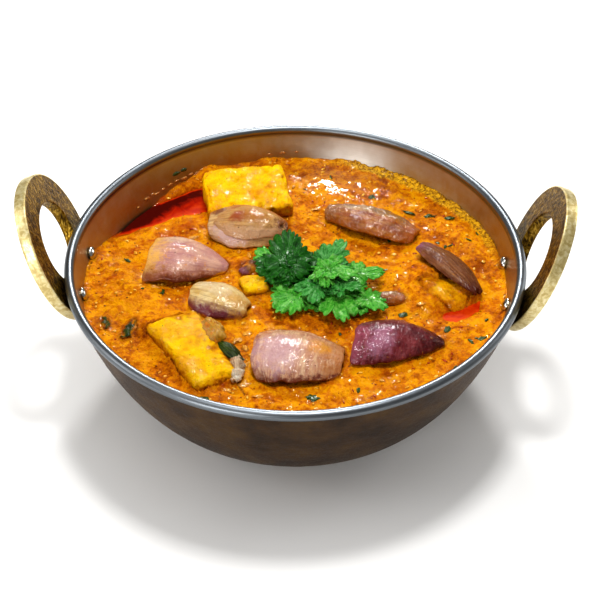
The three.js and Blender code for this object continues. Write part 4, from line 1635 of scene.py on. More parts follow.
@dataclass(frozen=True)
class Cube:
    """A hand-cut block of paneer with soft corners."""

    name: str
    size: tuple[float, float, float]
    at: tuple[float, float, float]
    yaw: float
    tilt: float = 0.0
    roll: float = 0.0
    taper: float = 0.0
    rounding: float = 1.6
    lumps: float = 0.5
    coat: float = 2.6
    smear: float = 0.5
    climb: float = 1.2
    chipped: float = 0.3
    cell: float = 0.45

    def build(self, sauce: Sauce, contacts: Contacts, finish: Material) -> None:
        """Makes the block.

        Args:
            sauce: The curry that it lies in.
            contacts: What the sauce meets, which the block joins.
            finish: Its material.
        """
        length = self.size[0]
        bm = slab(self.size, [max(6, round(side / self.cell)) for side in self.size], self.rounding)
        for vert in bm.verts:
            x, y, z = vert.co
            wave = self.lumps * sin(0.31 * x + self.at[0]) * cos(0.37 * y + self.at[1])
            sideways = self.lumps * sin(0.25 * z + 0.2 * x + self.at[1])
            vert.co = (x + 0.5 * wave, y * (1 - self.taper * (x / length + 0.5)) + sideways, z + wave)
        bm.normal_update()
        seed = self.at[0]
        smear = bm.verts.layers.float.new("smear")
        limits = [side / 2 for side in self.size]
        for vert in bm.verts:
            spot = vert.co
            edge = sorted(abs(c) / limit for c, limit in zip(spot, limits))[1]
            vert[smear] = min(1.0, self.smear * (0.5 + 1.2 * ease(edge, 0.7, 1.0)))
            soft = 0.45 * noise.noise(spot * 0.2 + Vector((seed, 0, 0)))
            crumbs = 0.2 * noise.noise(spot * 0.7) + 0.12 * noise.noise(spot * 1.5)
            pit = self.chipped * ease(noise.noise(spot * 0.42 + Vector((9, seed, 0))), 0.2, 0.5)
            chip = 2 * self.chipped * ease(edge, 0.86, 1.0) * ease(noise.noise(spot * 0.3), -0.1, 0.5)
            vert.co = spot + vert.normal * (soft + crumbs - pit - chip)
        bmesh.ops.transform(bm, matrix=pose(self.at, self.yaw, self.tilt, self.roll), verts=bm.verts)
        coat_pieces(bm, sauce, self.coat)
        contacts.add(bm, self.climb)
        finish_piece(f"{self.name}_block", bm, [finish], [self.name])


def coat_pieces(bm: BMesh, sauce: Sauce, reach: float) -> None:
    """Marks how thickly sauce coats a piece, from its height above the curry.

    Args:
        bm: The piece, in place.
        sauce: The curry that it lies in.
        reach: How high the coat climbs.
    """
    layer = bm.verts.layers.float.new("sauce")
    for vert in bm.verts:
        x, y, z = vert.co
        ragged = reach * (0.45 * ripple(0.22 * x, 0.22 * y, 0.3 * z) + 0.3 * ripple(0.7 * x, 0.7 * y, z))
        vert[layer] = ease(z - sauce.height(x, y) + ragged, reach, 0.35 * reach)


@dataclass(frozen=True)
class Petal:
    """A curved petal of onion or a cooked herb leaf, as a shell with a soft uneven edge."""

    name: str
    slot: str
    length: float
    width: float
    thickness: float
    arch: float
    at: tuple[float, float, float]
    yaw: float
    finish: OnionFinish
    bow: float = 0.0
    start: float = 0.12
    end: float = 0.88
    fullness: float = 0.7
    roll: float = 0.0
    round_start: float = 1.2
    round_end: float = 0.8
    skew: float = 0.0
    cell: float = 0.4
    ridges: float = 0.1
    crumple: float = 0.3
    crumple_size: float = 6.0
    coat: float = 1.4

    def middle(self, along: float, across: float) -> Vector:
        """Gives the shell's middle surface.

        Args:
            along: From 0 to 1.
            across: From -1 to 1.

        Returns:
            The point.
        """
        along_in = min(1.0, max(0.0, along))
        outline = sin(pi * (self.start + (self.end - self.start) * along_in)) ** self.fullness
        lift = self.arch * outline * (1 - across * across) + self.bow * sin(pi * along_in)
        corner = across ** 4
        x = self.length * (along - 0.5) + self.skew * across * (1 - along)
        x += corner * (self.round_start * ease(along, 0.4, 0.0) - self.round_end * ease(along, 0.6, 1.0))
        return Vector((x, self.width / 2 * outline * across, lift))

    def relief(self, along: float, across: float) -> float:
        """Gives the veins, creases and crumples.

        Args:
            along: From 0 to 1.
            across: From -1 to 1.

        Returns:
            Their height.
        """
        seed = self.at[0] + 2 * self.at[1]
        if self.finish.veins is Axis.ALONG:
            veins = ripple(1.2 * along, self.finish.vein_count * 0.9 * across, seed)
        else:
            veins = ripple(self.finish.vein_count * 1.6 * along, 0.8 * across, seed)
        x, y = along * self.length / self.crumple_size, across * self.width / 2 / self.crumple_size
        creases = ripple(x, y, seed + 7) + 0.45 * ripple(2.6 * x, 2.6 * y, seed + 9)
        creases += 0.22 * ripple(6 * x, 6 * y, seed + 11)
        return self.ridges * veins + self.crumple * creases

    def build(self, sauce: Sauce, contacts: Contacts) -> None:
        """Makes the petal.

        Args:
            sauce: The curry that it lies in.
            contacts: What the sauce meets, which the petal joins.
        """
        size = (self.length, self.width, self.thickness)
        cells = (max(10, round(self.length / self.cell)), max(8, round(self.width / self.cell)), 4)
        bm = slab(size, cells, self.thickness * 0.46)
        along_layer, across_layer = (bm.verts.layers.float.new(n) for n in ("along", "across"))
        step, seed = 0.01, self.at[0]
        for vert in bm.verts:
            x, y, z = vert.co
            along, across = x / self.length + 0.5, 2 * y / self.width
            vert[along_layer], vert[across_layer] = along, across
            across *= 1 + 0.07 * ripple(3.5 * along, 0.0, seed) + 0.03 * ripple(11 * along, 0.0, seed)
            along += 0.05 * ripple(1.8 * across, seed, 4) * cos(pi * along) ** 2
            spot = self.middle(along, across)
            ahead = self.middle(along + step, across) - self.middle(along - step, across)
            aside = self.middle(along, across + step) - self.middle(along, across - step)
            normal = ahead.cross(aside).normalized()
            thin = 1 - 0.5 * abs(across) ** 3
            vert.co = spot + normal * (z * thin + self.relief(along, across))
        bmesh.ops.transform(bm, matrix=pose(self.at, self.yaw, roll=self.roll), verts=bm.verts)
        coat_pieces(bm, sauce, self.coat)
        contacts.add(bm)
        finish_piece(f"{self.name}_petal", bm, [self.finish.material()], [self.name])


@dataclass(frozen=True)
class CorianderLeaf:
    """A coriander leaf: a lobed, toothed and frilled blade with its leaflets and stalk."""

    name: str
    at: tuple[float, float, float]
    radius: float
    broad: float
    yaw: float
    stalk: float = 3.0
    tilt: float = 0.0
    phase: float = 0.0
    thickness: float = 0.34
    leaflets: tuple[tuple[float, float, float], ...] = (
        (74, 0.74, 0.7), (-70, 0.72, 0.8), (128, 0.5, 1.2), (-132, 0.52, 1.2),
    )
    smallest: float = 3.4
    lobe_depth: float = 0.34
    finger_depth: float = 0.22
    tooth_depth: float = 0.14
    fingers: int = 9
    spokes: int = 216
    rings: int = 9

    def reach(self, angle: float) -> float:
        """Gives the outline.

        Args:
            angle: The turn from the leaf's tip.

        Returns:
            The radius as a share of the leaf's length.
        """
        bent = angle + 0.16 * sin(2 * angle + self.phase) + 0.07 * sin(5 * angle + 2 * self.phase)
        fan = 0.3 + 0.7 * abs(cos(angle / 2)) ** 0.65
        lobes = 1 - self.lobe_depth * (1 - abs(cos(1.5 * bent)) ** 0.45)
        fingers = 1 - self.finger_depth * (1 - abs(cos(4.5 * bent)) ** 0.45)
        teeth = 1 - self.tooth_depth * (1 - abs(cos(13.5 * bent)) ** 0.6)
        return fan * lobes * fingers * teeth

    def blade(self, bm: BMesh, place: Matrix, radius: float, turn: float) -> None:
        """Adds one blade.

        Args:
            bm: The mesh that gets the blade.
            place: Its pose.
            radius: Its length from the stalk to the tip.
            turn: A number that makes its frill its own.
        """
        fan = spun([(i / self.rings, 0.0) for i in range(self.rings + 1)], self.spokes, 1e-5)
        vein, rib = (fan.verts.layers.float.new(name) for name in ("vein", "rib"))
        for vert in fan.verts:
            share = hypot(vert.co.x, vert.co.y)
            angle = atan2(vert.co.y, vert.co.x)
            away = radius * share * self.reach(angle)
            finger = round(angle / (TURN / self.fingers))
            nearest = angle - finger * (TURN / self.fingers)
            main = finger % 3 == 0
            ridge = exp(-(nearest * away / (0.34 if main else 0.22)) ** 2) * ease(share, 1.05, 0.5)
            twig = abs(sin(6.5 * share * radius / 5 + 3 * abs(nearest)))
            vert[vein] = min(1.0, ridge + 0.25 * ease(twig, 0.9, 1.0) * ease(share, 0.2, 0.5))
            # The rib trait marks the fine pleats, which the leaf material darkens as painted shade.
            vert[rib] = 0.5 + 0.5 * cos(27 * angle + 2.4 * ripple(4 * share, turn, 3))
            cup = share * share * (0.06 + 0.05 * sin(5 * angle + self.phase + turn))
            frill = 0.05 * share ** 3 * sin(11 * angle + 2 * turn)
            fold = share * (0.014 * cos(9 * angle) + 0.005 * share * cos(27 * angle))
            curl = -0.1 * ease(share, 0.75, 1.0) * (0.5 + 0.5 * sin(2 * angle + turn))
            lift = radius * (cup + frill - fold + curl) + 0.1 * ripple(away * cos(angle), away, turn)
            vert.co = (away * cos(angle), self.broad * away * sin(angle), lift)
        fan.normal_update()
        bmesh.ops.recalc_face_normals(fan, faces=fan.faces)
        bmesh.ops.solidify(fan, geom=fan.faces[:], thickness=self.thickness)
        bmesh.ops.transform(fan, matrix=place, verts=fan.verts)
        bmesh.ops.recalc_face_normals(fan, faces=fan.faces)
        join(bm, fan)

    def build(self, heart: Vector, finish: Material) -> None:
        """Makes the leaf with its leaflets and its stalk.

        Args:
            heart: Where the sprig's stalks meet.
            finish: Its material.
        """
        bm = bmesh.new()
        for name in ("vein", "rib"):
            bm.verts.layers.float.new(name)
        place = pose(self.at, self.yaw, self.tilt)
        self.blade(bm, place, self.radius, 0.0)
        for swing, share, drop in self.leaflets:
            if self.radius * share < self.smallest:
                continue
            turn = radians(swing)
            spot = (-0.12 * self.radius + 0.1 * self.radius * cos(turn),
                    0.16 * self.radius * sin(turn), -drop)
            self.blade(bm, place @ pose(spot, swing, -6), self.radius * share, swing)
        root = place @ Vector((-0.2 * self.radius, 0, -0.1))
        away = place @ Vector((-0.3 * self.radius - self.stalk, 0, -0.6))
        path = [root, root.lerp(away, 0.5) + Vector((0, 0, 0.25)), away, away.lerp(heart, 0.5)]
        stem(bm, path, 0.3, 0.42)
        finish_piece(f"{self.name}_leaf", bm, [finish], [self.name])


# ---------------- small bits


@dataclass(frozen=True)
class Bits:
    """Small bits of one kind scattered over the sauce, true to size, as one piece."""

    name: str
    finish: BitFinish
    count: int
    length: tuple[float, float]
    width: tuple[float, float]
    height: tuple[float, float]
    seed: int
    placed: tuple[tuple[float, float, float, float, float], ...] = ()
    reach: float = 69.0
    splits: int = 1
    rise: float = 0.1
    crumple: float = 0.25
    clear: float = 0.5
    from_wall: float = 0.6
    slot: str = "curry"
    stands_for: tuple[str, ...] = ()

    def build(self, sauce: Sauce, contacts: Contacts) -> None:
        """Makes the bits.

        Args:
            sauce: The curry that they lie on.
            contacts: The pieces that they keep clear of.
        """
        draw = random.Random(self.seed)
        bm = bmesh.new()
        for x, y, length, width, yaw in self.placed:
            self.bit(bm, sauce, x, y, (length, width, draw.uniform(*self.height)), radians(yaw), draw)
        left = self.count
        while left:
            angle, away = draw.uniform(0, TURN), self.reach * sqrt(draw.random())
            x, y = away * cos(angle), away * sin(angle)
            size = (draw.uniform(*self.length), draw.uniform(*self.width), draw.uniform(*self.height))
            yaw = draw.uniform(0, TURN)
            spot = Vector((x, y, sauce.height(x, y)))
            edge = sauce.wall.radius(spot.z, sauce.wall.inner) - self.from_wall
            if contacts.reach(spot, 3.0)[0] < self.clear or away > edge:
                continue
            if spot.z < sauce.oil_level(x, y) + 0.2:
                continue
            left -= 1
            self.bit(bm, sauce, x, y, size, yaw, draw)
        finish_piece(self.name, bm, [self.finish.material()], self.stands_for)

    def bit(self, bm: BMesh, sauce: Sauce, x: float, y: float,
            size: tuple[float, float, float], yaw: float, draw: random.Random) -> None:
        """Adds one flattened, crumpled bit.

        Args:
            bm: The mesh that gets it.
            sauce: The curry that it lies on.
            x: The place's X.
            y: The place's Y.
            size: Its length, width and height.
            yaw: Its turn about Z.
            draw: Where its chances come from.
        """
        grain = bmesh.ops.create_icosphere(bm, subdivisions=self.splits, radius=0.5)["verts"]
        shift = draw.uniform(0, 100)
        turn = Matrix.Rotation(yaw, 4, "Z") @ Matrix.Rotation(draw.uniform(-0.35, 0.35), 4, "X")
        high = Vector((x, y, max(sauce.top(x, y), sauce.oil_level(x, y)) + self.rise))
        for vert in grain:
            bent = 1 + self.crumple * noise.noise(vert.co * 3 + Vector((shift, 0, 0)))
            local = Vector([c * side * bent for c, side in zip(vert.co, size)])
            vert.co = high + turn @ local


@dataclass(frozen=True)
class WallBits:
    """Specks and droplets that cling to the liner above the oil."""

    name: str
    finish: BitFinish
    spots: tuple[tuple[float, float, float, float], ...]

    def build(self, wall: Wall) -> None:
        """Makes the specks, each given by its turn, height, length and width.

        Args:
            wall: The curve of the bowl's wall.
        """
        bm = bmesh.new()
        for angle, height, length, width in self.spots:
            turn = radians(angle)
            radius = wall.radius(height, wall.inner) - 0.12
            grain = bmesh.ops.create_icosphere(bm, subdivisions=2, radius=0.5)["verts"]
            for vert in grain:
                bent = 1 + 0.3 * noise.noise(vert.co * 2.5 + Vector((angle, 0, 0)))
                local = Vector((vert.co.x * 0.7, vert.co.y * length, vert.co.z * width)) * bent
                vert.co = Matrix.Rotation(turn, 3, "Z") @ (local + Vector((radius, 0, 0)))
                vert.co.z += height
        finish_piece(self.name, bm, [self.finish.material()])


# ---------------- the dish's own pieces

MAUVE = OnionFinish(
    "onion_mauve", "#b48078", "#8a5458", "#cca088", vein_count=8, vein_strength=0.4, gloss=0.45,
    accents=(Accent(Axis.ALONG, 0.3, 0.02, "#dca64e", 0.9), Accent(Axis.ACROSS, -0.5, -1.0, "#8a4a22")),
    stains=(Stain(0.55, -0.98, 0.42, 0.14, "#5c2212", 0.75), Stain(0.35, 0.2, 0.14, 0.3, "#8f4a68", 0.5),
            Stain(0.3, 0.6, 0.2, 0.4, "#dcc0a0", 0.7)),
    splash=0.58,
)
FRIED = OnionFinish(
    "onion_fried", "#bb8c5e", "#8a5830", "#ccaa74", vein_strength=0.5,
    accents=(Accent(Axis.ALONG, 0.84, 1.0, "#4a120c"), Accent(Axis.ACROSS, 0.1, 0.9, "#a8662c", 0.8)),
    stains=(Stain(0.62, 0.25, 0.32, 0.5, "#a8641c", 0.95), Stain(0.42, 0.5, 0.16, 0.25, "#8a2c08", 0.8),
            Stain(0.12, 0.5, 0.1, 0.3, "#5a1408", 0.8), Stain(0.3, -0.6, 0.28, 0.4, "#c6a4a0", 0.8)),
)
RIDGE = OnionFinish(
    "onion_ridge", "#b07c40", "#7c4a1c", "#bf955c", gloss=0.5,
    accents=(Accent(Axis.ALONG, 0.85, 1.0, "#5a1c0c", 0.8), Accent(Axis.ACROSS, -0.3, -0.7, "#bd9470"),
             Accent(Axis.ACROSS, 0.5, 0.85, "#b08252", 0.9), Accent(Axis.ALONG, 0.2, 0.0, "#ae8458", 0.8)),
    stains=(Stain(0.34, 0.1, 0.14, 0.4, "#8a3008", 0.85), Stain(0.6, 0.1, 0.24, 0.45, "#a0620e", 0.8)),
)
CREAM = OnionFinish(
    "onion_cream", "#c6a25a", "#94703c", "#dcc490", vein_count=8, vein_strength=0.5,
    accents=(Accent(Axis.ACROSS, -0.3, -0.85, "#6e3038"), Accent(Axis.ALONG, 0.72, 1.0, "#a8721e", 0.8)),
    stains=(Stain(0.75, 0.1, 0.18, 0.4, "#b98428", 0.7), Stain(0.4, 0.2, 0.28, 0.4, "#ccb898", 0.55)),
)
BLUSH = OnionFinish(
    "onion_blush", "#ba8a6e", "#e4c49c", "#ac785c", veins=Axis.ACROSS, vein_count=15, vein_strength=0.5,
    accents=(Accent(Axis.ALONG, 0.66, 0.95, "#b07034", 0.7), Accent(Axis.ACROSS, -0.8, -1.0, "#6a2414", 0.9),
             Accent(Axis.ALONG, 0.1, 0.0, "#7e4436", 0.7)),
    stains=(Stain(0.72, 0.0, 0.13, 0.3, "#c98410", 0.9), Stain(0.28, -0.3, 0.26, 0.6, "#b8949c", 0.7),
            Stain(0.1, -0.95, 0.12, 0.18, "#5a1a10", 0.6)),
)
PURPLE = OnionFinish(
    "onion_purple", "#6e1e24", "#a45a5c", "#54121a", veins=Axis.ACROSS, vein_count=10, vein_strength=0.3,
    accents=(Accent(Axis.ALONG, 0.24, 0.02, "#8e4456", 0.8), Accent(Axis.ALONG, 0.62, 0.95, "#3a0a0e", 0.8),
             Accent(Axis.ACROSS, 0.5, 1.0, "#5a2018", 0.6)),
    stains=(Stain(0.3, -0.4, 0.16, 0.5, "#b07894", 0.5), Stain(0.3, 0.7, 0.14, 0.2, "#8a4a1c", 0.7)),
    blisters=0.6,
)
SEARED = OnionFinish(
    "onion_seared", "#9a5008", "#c48c30", "#7a3006", vein_count=5, vein_strength=0.4, blisters=0.9,
    gloss=0.95,
    accents=(Accent(Axis.ALONG, 0.8, 1.0, "#a85410", 0.7), Accent(Axis.ALONG, 0.26, 0.02, "#94663c", 0.7),
             Accent(Axis.ACROSS, 0.6, 1.0, "#571408", 0.85), Accent(Axis.ACROSS, -0.6, -1.0, "#a85c10", 0.8)),
    stains=(Stain(0.32, 0.1, 0.22, 0.3, "#b8986c", 0.8), Stain(0.62, 0.2, 0.24, 0.35, "#8a6418", 0.7),
            Stain(0.42, 0.75, 0.4, 0.3, "#4e1a06", 0.85), Stain(0.2, 0.4, 0.12, 0.4, "#5a1e08", 0.7)),
    splash=0.57,
)
DUSKY = OnionFinish(
    "onion_dusky", "#6c3c20", "#a67646", "#582c18", vein_count=10, vein_strength=0.55, gloss=0.22,
    accents=(Accent(Axis.ALONG, 0.22, 0.0, "#845068", 0.8), Accent(Axis.ALONG, 0.8, 1.0, "#4c130c", 0.8),
             Accent(Axis.ACROSS, 0.75, 1.0, "#7a2418", 0.8)),
)
CRUMBLED = OnionFinish("onion_crumbled", "#b0801c", "#6e4a10", "#c89a3a", vein_count=6, blisters=0.8,
                       splash=0.5)
GLAZED = OnionFinish("onion_glazed", "#ceb08a", "#7a4c24", "#ecdcc4", vein_count=7, vein_strength=0.7,
                     blisters=0.9, gloss=1.0, splash=0.6)
WILTED = OnionFinish("wilted_herb", "#1a3008", "#566818", "#0e1c06", vein_count=5, vein_strength=0.6,
                     gloss=0.25, blisters=0.7, splash=0.62)

CUBES = (
    Cube("paneer_1", (29, 24, 15), (-19, 44.6, 40.4), 12, tilt=1, roll=3, coat=5.6, smear=0.6, chipped=0.7),
    Cube("paneer_2", (35, 19, 16), (-31.2, -36.4, 36.8), -58, roll=-4, taper=0.22, rounding=2.8, coat=3.4,
         smear=0.3, climb=2.4),
    Cube("paneer_3", (20, 14, 14), (49.6, -2.2, 37.6), -34, roll=-3, rounding=4.2, coat=4.0, smear=0.8,
         climb=2.6, chipped=0.2, lumps=0.8),
    Cube("paneer_4", (9, 8, 9), (-13.2, -4, 40.3), 20, tilt=6, coat=2.5, smear=0.8, climb=1.6),
)

PETALS = (
    Petal("onion_1", "onion_pink", 27, 25.5, 2.2, 5, (-36.5, 7.4, 41.6), -9, MAUVE, 1.5, 0.38, 0.97, 0.8,
          roll=-4, round_start=0.4),
    Petal("onion_2", "onion_pale", 27.5, 19, 1.9, 3.8, (-17.5, 25.4, 43.8), -5, FRIED, 1, 0.16, 0.93, roll=14,
          round_start=3),
    Petal("onion_2_inner", "onion_pale", 23, 14, 1.2, 2.9, (-16.8, 24.2, 46.5), -4, RIDGE, 1.0, 0.12, 0.9,
          roll=14, crumple=0.35, crumple_size=4),
    Petal("onion_3", "onion_pale", 21, 15.5, 2, 3.4, (-24.4, -12.4, 41.8), -24, CREAM, 1, 0.2, 0.9, roll=7,
          round_start=2.4),
    Petal("onion_4", "onion_pink", 29, 26.5, 2.4, 5.2, (2.4, -38.3, 40.8), -5, BLUSH, 1.6, 0.36, 0.83, 0.9,
          roll=-6, round_start=3.2, round_end=1.2),
    Petal("onion_5", "onion_purple", 28.5, 22, 2.3, 5.4, (34.8, -29.8, 41), 3, PURPLE, 1.2, 0.34, 0.97, 0.9,
          roll=-5, skew=2.6, round_start=0.5),
    Petal("onion_6", "onion_browned", 34.5, 15.5, 2.2, 3.8, (25.6, 31, 41.6), -24, SEARED, 1.8, 0.14, 0.84,
          roll=-8, round_start=2, round_end=2.4, ridges=0.25, crumple=0.8, crumple_size=4.5),
    Petal("onion_7", "onion_browned", 30, 14, 2, 2.4, (51.4, 5.6, 43.6), -53, DUSKY, 1.4, 0.14, 0.94,
          roll=-24, ridges=0.25),
    Petal("onion_8", "onion_pink", 9, 5.5, 1.6, 1, (-15.4, 5.6, 42.4), 52, DUSKY, crumple=0.4,
          crumple_size=3),
    Petal("onion_9", "onion_browned", 9, 6, 2, 1.4, (32, -8.6, 42.4), -8, SEARED, crumple=0.4,
          crumple_size=3),
    Petal("onion_10", "onion_pale", 12, 6.8, 2.0, 1.6, (-25.2, -28.2, 43.6), -58, CRUMBLED, roll=10,
          crumple=1.2, crumple_size=2.4, coat=4),
    Petal("onion_11", "onion_pale", 12.5, 5.2, 1.6, 1.5, (-16.8, -44.6, 42.3), -86, GLAZED, roll=10,
          ridges=0.3, crumple=1.3, crumple_size=2.0, coat=2.2),
    Petal("herb_1", "cooked_herb", 12, 4.6, 0.8, 1, (-19.4, -37, 42.6), -48, WILTED, 1, crumple=0.5,
          crumple_size=3.5),
    Petal("herb_2", "cooked_herb", 10, 3.8, 0.7, 0.7, (-52.5, -26, 41.3), 66, WILTED, 0.5, crumple=0.9,
          crumple_size=1.8, coat=1.0),
    Petal("herb_3", "cooked_herb", 6.5, 2.7, 0.7, 0.5, (-61, -23, 41.3), 110, WILTED, crumple=0.8,
          crumple_size=1.6, coat=1.0),
)


class Green(Enum):
    """The greens of the coriander sprig, from its shaded leaves to its pale undersides."""

    DEEP = LeafFinish("leaf_deep", "#053202", "#105404", "#2a7a12", "#3a8a20")
    FRESH = LeafFinish("leaf_fresh", "#166808", "#48a42c", "#84c25c", "#98cc70")
    PALE = LeafFinish("leaf_pale", "#125e0e", "#388e34", "#70b066", "#90c47c")


LEAVES = (
    (CorianderLeaf("coriander_1", (-2.6, 0.5, 49.4), 13.2, 0.8, 97, 3, 22, 1), Green.DEEP),
    (CorianderLeaf("coriander_2", (-7.5, 5.5, 45.4), 8.5, 0.8, 140, 3, 5, 2), Green.FRESH),
    (CorianderLeaf("coriander_3", (-4.5, -3.2, 46.9), 6.5, 0.6, 212, 2, 0, 0.5), Green.DEEP),
    (CorianderLeaf("coriander_4", (0.8, -9.5, 44.5), 11.5, 0.78, 236, 5, 0, 3), Green.FRESH),
    (CorianderLeaf("coriander_5", (7.2, -7.8, 46.9), 9, 0.7, 262, 3, 0, 4), Green.PALE),
    (CorianderLeaf("coriander_6", (10.4, 4.8, 46.6), 11.5, 0.74, 66, 3, 9, 2.4), Green.PALE),
    (CorianderLeaf("coriander_7", (20.6, -1.4, 47), 9.5, 0.74, 4, 3, 5, 0.2), Green.FRESH),
    (CorianderLeaf("coriander_8", (11.5, -3, 50.2), 10.5, 0.62, -14, 3, 0, 1.6), Green.FRESH),
    (CorianderLeaf("coriander_9", (15.8, -8.4, 48.4), 7, 0.7, -22, 2, 4, 5), Green.PALE),
    (CorianderLeaf("coriander_10", (13.8, -9.6, 44.9), 14, 0.72, -78, 2, 0, 3.1), Green.FRESH),
    (CorianderLeaf("coriander_11", (24, -12, 45), 8, 0.75, -34, 1, 0, 4.4), Green.FRESH),
)

CHOPPED = (
    (7.8, -55.7, 4.2, 3.0, -10), (38.4, 39.6, 4.6, 2.0, -25), (45.1, 37.6, 3.0, 1.6, 30),
    (52.5, 36.5, 3.0, 2.0, 10), (25.3, 48.4, 3.0, 2.0, 80), (35.9, -15.5, 3.0, 1.6, 15),
    (50.2, -22.0, 3.0, 2.0, 60), (61.2, -25.5, 3.0, 1.4, 20), (-25.6, -57.5, 3.0, 2.0, 0),
)

SHREDS = (
    (-20.8, -33.8, 4.6, 3.0, -50), (-17.5, -29.5, 3.6, 2.4, 20), (-14.8, -33.5, 3.2, 1.8, -70),
    (-14.6, -26.0, 3.6, 2.4, 30), (-13.5, -41.0, 3.0, 1.5, 80), (-19.5, -53.0, 3.4, 1.6, -20),
    (-14.0, -50.6, 4.0, 2.2, 15), (-9.0, -55.5, 3.6, 1.4, 5), (-28.0, -22.0, 3.2, 1.6, -30),
    (-47.0, -4.5, 3.4, 1.4, -15), (-32.0, -6.5, 3.6, 1.5, -5), (-10.5, 13.5, 3.4, 1.5, 40),
    (-36.5, 22.5, 3.6, 1.3, 20), (44.0, 13.5, 3.0, 1.5, -50), (42.0, -11.0, 3.2, 1.6, 10),
    (13.5, 36.0, 3.2, 1.8, -30), (6.5, 40.0, 3.0, 1.6, 20),
)

RESIDUE = (
    (141, 41.4, 2.6, 1.6), (138.6, 41.8, 1.6, 1.0), (137, 41.2, 2.4, 0.9), (134.6, 41.6, 1.4, 0.8),
    (132, 41.9, 2.4, 0.9), (129.4, 42.2, 1.7, 0.9), (127, 42.0, 2.6, 1.1), (124.5, 42.5, 1.6, 1.0),
    (122.6, 42.2, 1.9, 1.1), (121, 42.9, 1.3, 0.8), (145, 40.6, 1.2, 0.7), (96, 44.0, 2.2, 0.8),
    (92, 44.2, 1.6, 0.7), (100, 43.8, 1.3, 0.6),
)

STUCK_HERB = ((129, 44.6, 3.2, 1.6), (126.5, 44.9, 2.4, 1.5))

BITS = (
    Bits("herb_flecks", BitFinish("chopped_herb", "#102208", "#46601a", gloss=0.35), 36, (0.9, 2.6),
         (0.5, 1.2), (0.3, 0.6), 3, CHOPPED, splits=3, crumple=0.75, slot="cooked_herb",
         stands_for=("curry",)),
    Bits("onion_shreds", BitFinish("onion_shreds", "#b4660c", "#f0b43c"), 10, (1.5, 3.2), (0.8, 1.6),
         (0.5, 0.9), 13, SHREDS, splits=3, crumple=0.8, slot="onion_pale"),
    Bits("spice_specks", BitFinish("ground_spice", "#4a1a06", "#8a3a0a", gloss=0.4), 260, (0.3, 1.0),
         (0.25, 0.6), (0.2, 0.35), 5, crumple=0.5),
    Bits("chilli_flakes", BitFinish("chilli_flake", "#7a1a04", "#c84008"), 120, (0.7, 2.1), (0.4, 0.9),
         (0.25, 0.4), 7, crumple=0.6),
    Bits("sauce_crumbs", BitFinish("golden_crumb", "#d98a10", "#ffcf4a"), 260, (0.6, 1.8), (0.5, 1.2),
         (0.35, 0.6), 9, splits=2, crumple=0.6),
)

WALL_BITS = (
    WallBits("wall_residue", BitFinish("wall_residue", "#7a3a10", "#e0a050"), RESIDUE),
    WallBits("wall_herb", BitFinish("wall_herb", "#0c1c08", "#42581a"), STUCK_HERB),
)


# ---------------- studio


@dataclass(frozen=True)
class SoftBox:
    """A square or oblong soft light that looks at a point."""

    name: str
    at: tuple[float, float, float]
    target: tuple[float, float, float]
    size: tuple[float, float]
    power: float

    def build(self) -> None:
        """Hangs the light."""
        lamp = bpy.data.lights.new(self.name, "AREA")
        lamp.shape, lamp.size, lamp.size_y, lamp.energy = "RECTANGLE", self.size[0], self.size[1], self.power
        light = linked(self.name, lamp)
        light.location = self.at
        aim = Vector(self.target) - Vector(self.at)
        light.rotation_euler = aim.to_track_quat("-Z", "Y").to_euler()


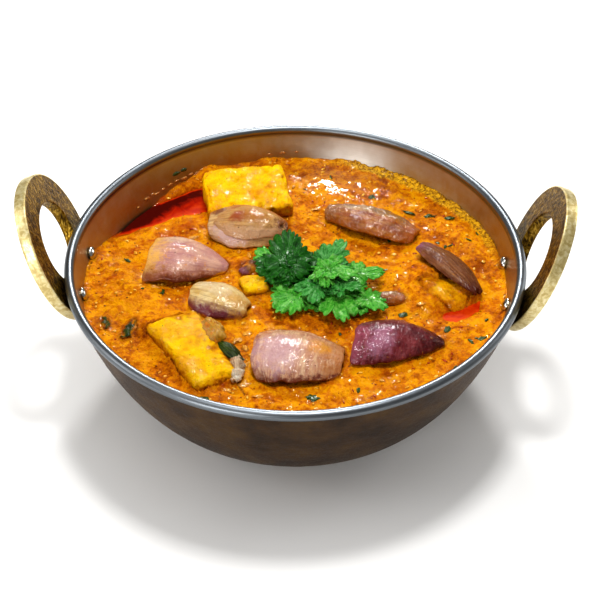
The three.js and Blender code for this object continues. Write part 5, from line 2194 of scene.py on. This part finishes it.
@dataclass(frozen=True)
class Studio:
    """A pale floor, soft lights and the camera at the photograph's angle."""

    camera_at: tuple[float, float, float] = (0.0178736, -0.4264511, 0.3988717)
    camera_ahead: tuple[float, float, float] = (-0.029048, 0.759250, -0.650151)
    lens: float = 99.58
    floor_side: float = 1.6
    world: float = 0.21
    lights: tuple[SoftBox, ...] = (
        SoftBox("back_light", (0.011, 0.617, 0.459), (0.015, 0.055, 0.04), (0.13, 0.09), 2.7),
        SoftBox("key_light", (0.03, 0.08, 0.76), (0, 0, 0.04), (0.13, 0.11), 2.5),
        SoftBox("top_light", (-0.1, -0.1, 0.95), (0, 0, 0.04), (0.7, 0.7), 2.0),
        SoftBox("left_light", (-0.62, -0.1, 0.34), (0, 0, 0.04), (0.3, 0.4), 1.0),
        SoftBox("right_light", (0.55, 0.3, 0.25), (0, 0, 0.04), (0.3, 0.4), 0.8),
        SoftBox("front_light", (-0.4, -0.7, 0.28), (0, 0, 0.04), (0.34, 0.26), 2.7),
    )

    def build(self) -> None:
        """Sets up the floor, the lights, the surroundings and the camera."""
        for light in self.lights:
            light.build()
        self.build_floor()
        world = bpy.data.worlds.new("studio")
        world.use_nodes = True
        glow = world.node_tree.nodes["Background"]
        glow.inputs[0].default_value = (1, 1, 1, 1)
        glow.inputs[1].default_value = self.world
        scene = bpy.context.scene
        scene.world = world
        scene.view_settings.view_transform = "Standard"
        scene.view_settings.look = "Medium High Contrast"
        lens = bpy.data.cameras.new("camera")
        lens.lens, lens.sensor_width = self.lens, 36.0
        lens.clip_start, lens.clip_end = 0.01, 20.0
        camera = linked("camera", lens)
        camera.location = self.camera_at
        camera.rotation_euler = Vector(self.camera_ahead).to_track_quat("-Z", "Y").to_euler()
        scene.camera = camera

    def build_floor(self) -> None:
        """Lays the floor."""
        bm = bmesh.new()
        bmesh.ops.create_grid(bm, x_segments=8, y_segments=8, size=self.floor_side / 2)
        floor = linked("floor", baked("floor", bm))
        sheet = Sheet("pale_floor")
        pale = sheet.shades(sheet.cloud(0.02), (0.3, "#f1f0ee"), (0.7, "#f5f4f2"))
        sheet.set(Base_Color=pale, Roughness=0.7)
        floor.data.materials.append(sheet.material)


# ---------------- assembly


def build_bowl(wall: Wall, contacts: Contacts) -> None:
    """Makes the bowl, its handles and their rivets.

    Args:
        wall: The curve of the bowl's wall.
        contacts: What the sauce meets, which the rivets join.
    """
    Bowl(wall).build()
    handle = RingHandle(wall)
    seat = handle.seat()
    for side in Side:
        handle.build(side, seat)
        rivet = Rivet(wall, handle)
        for spot, swing in (("back", rivet.swing), ("front", -rivet.swing)):
            rivet.build(side, spot, swing, contacts)
    bpy.data.objects.remove(seat)


def build_food(sauce: Sauce, contacts: Contacts) -> None:
    """Makes the paneer, the onion, the herbs, the curry, its oil and all that lies on it.

    Args:
        sauce: The curry's surface.
        contacts: What the sauce meets.
    """
    paneer = PaneerFinish().material()
    for cube in CUBES:
        cube.build(sauce, contacts, paneer)
    for petal in PETALS:
        petal.build(sauce, contacts)
    Curry(sauce, contacts).build()
    OilPool("back_oil", "oil_back", sauce, sauce.pool_level, (112.0, 170.0), (46.0, 68.6),
            (120, 48)).build()
    OilPool("right_oil", "oil_right", sauce, 40.6, (-22.0, -4.0), (49.0, 62.0), (44, 36)).build()
    heart = Vector((8.0, -2.5, 45.2))
    greens = {green: green.value.material() for green in Green}
    for leaf, green in LEAVES:
        leaf.build(heart, greens[green])
    for bits in BITS:
        bits.build(sauce, contacts)


def main() -> None:
    """Builds the dish and its surroundings, in order."""
    logging.basicConfig(level=logging.INFO, format="%(name)s %(message)s")
    wall, contacts = Wall(), Contacts()
    Studio().build()
    build_bowl(wall, contacts)
    build_food(Sauce(wall), contacts)
    for bits in WALL_BITS:
        bits.build(wall)
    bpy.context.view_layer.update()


if __name__ == "__main__":
    main()
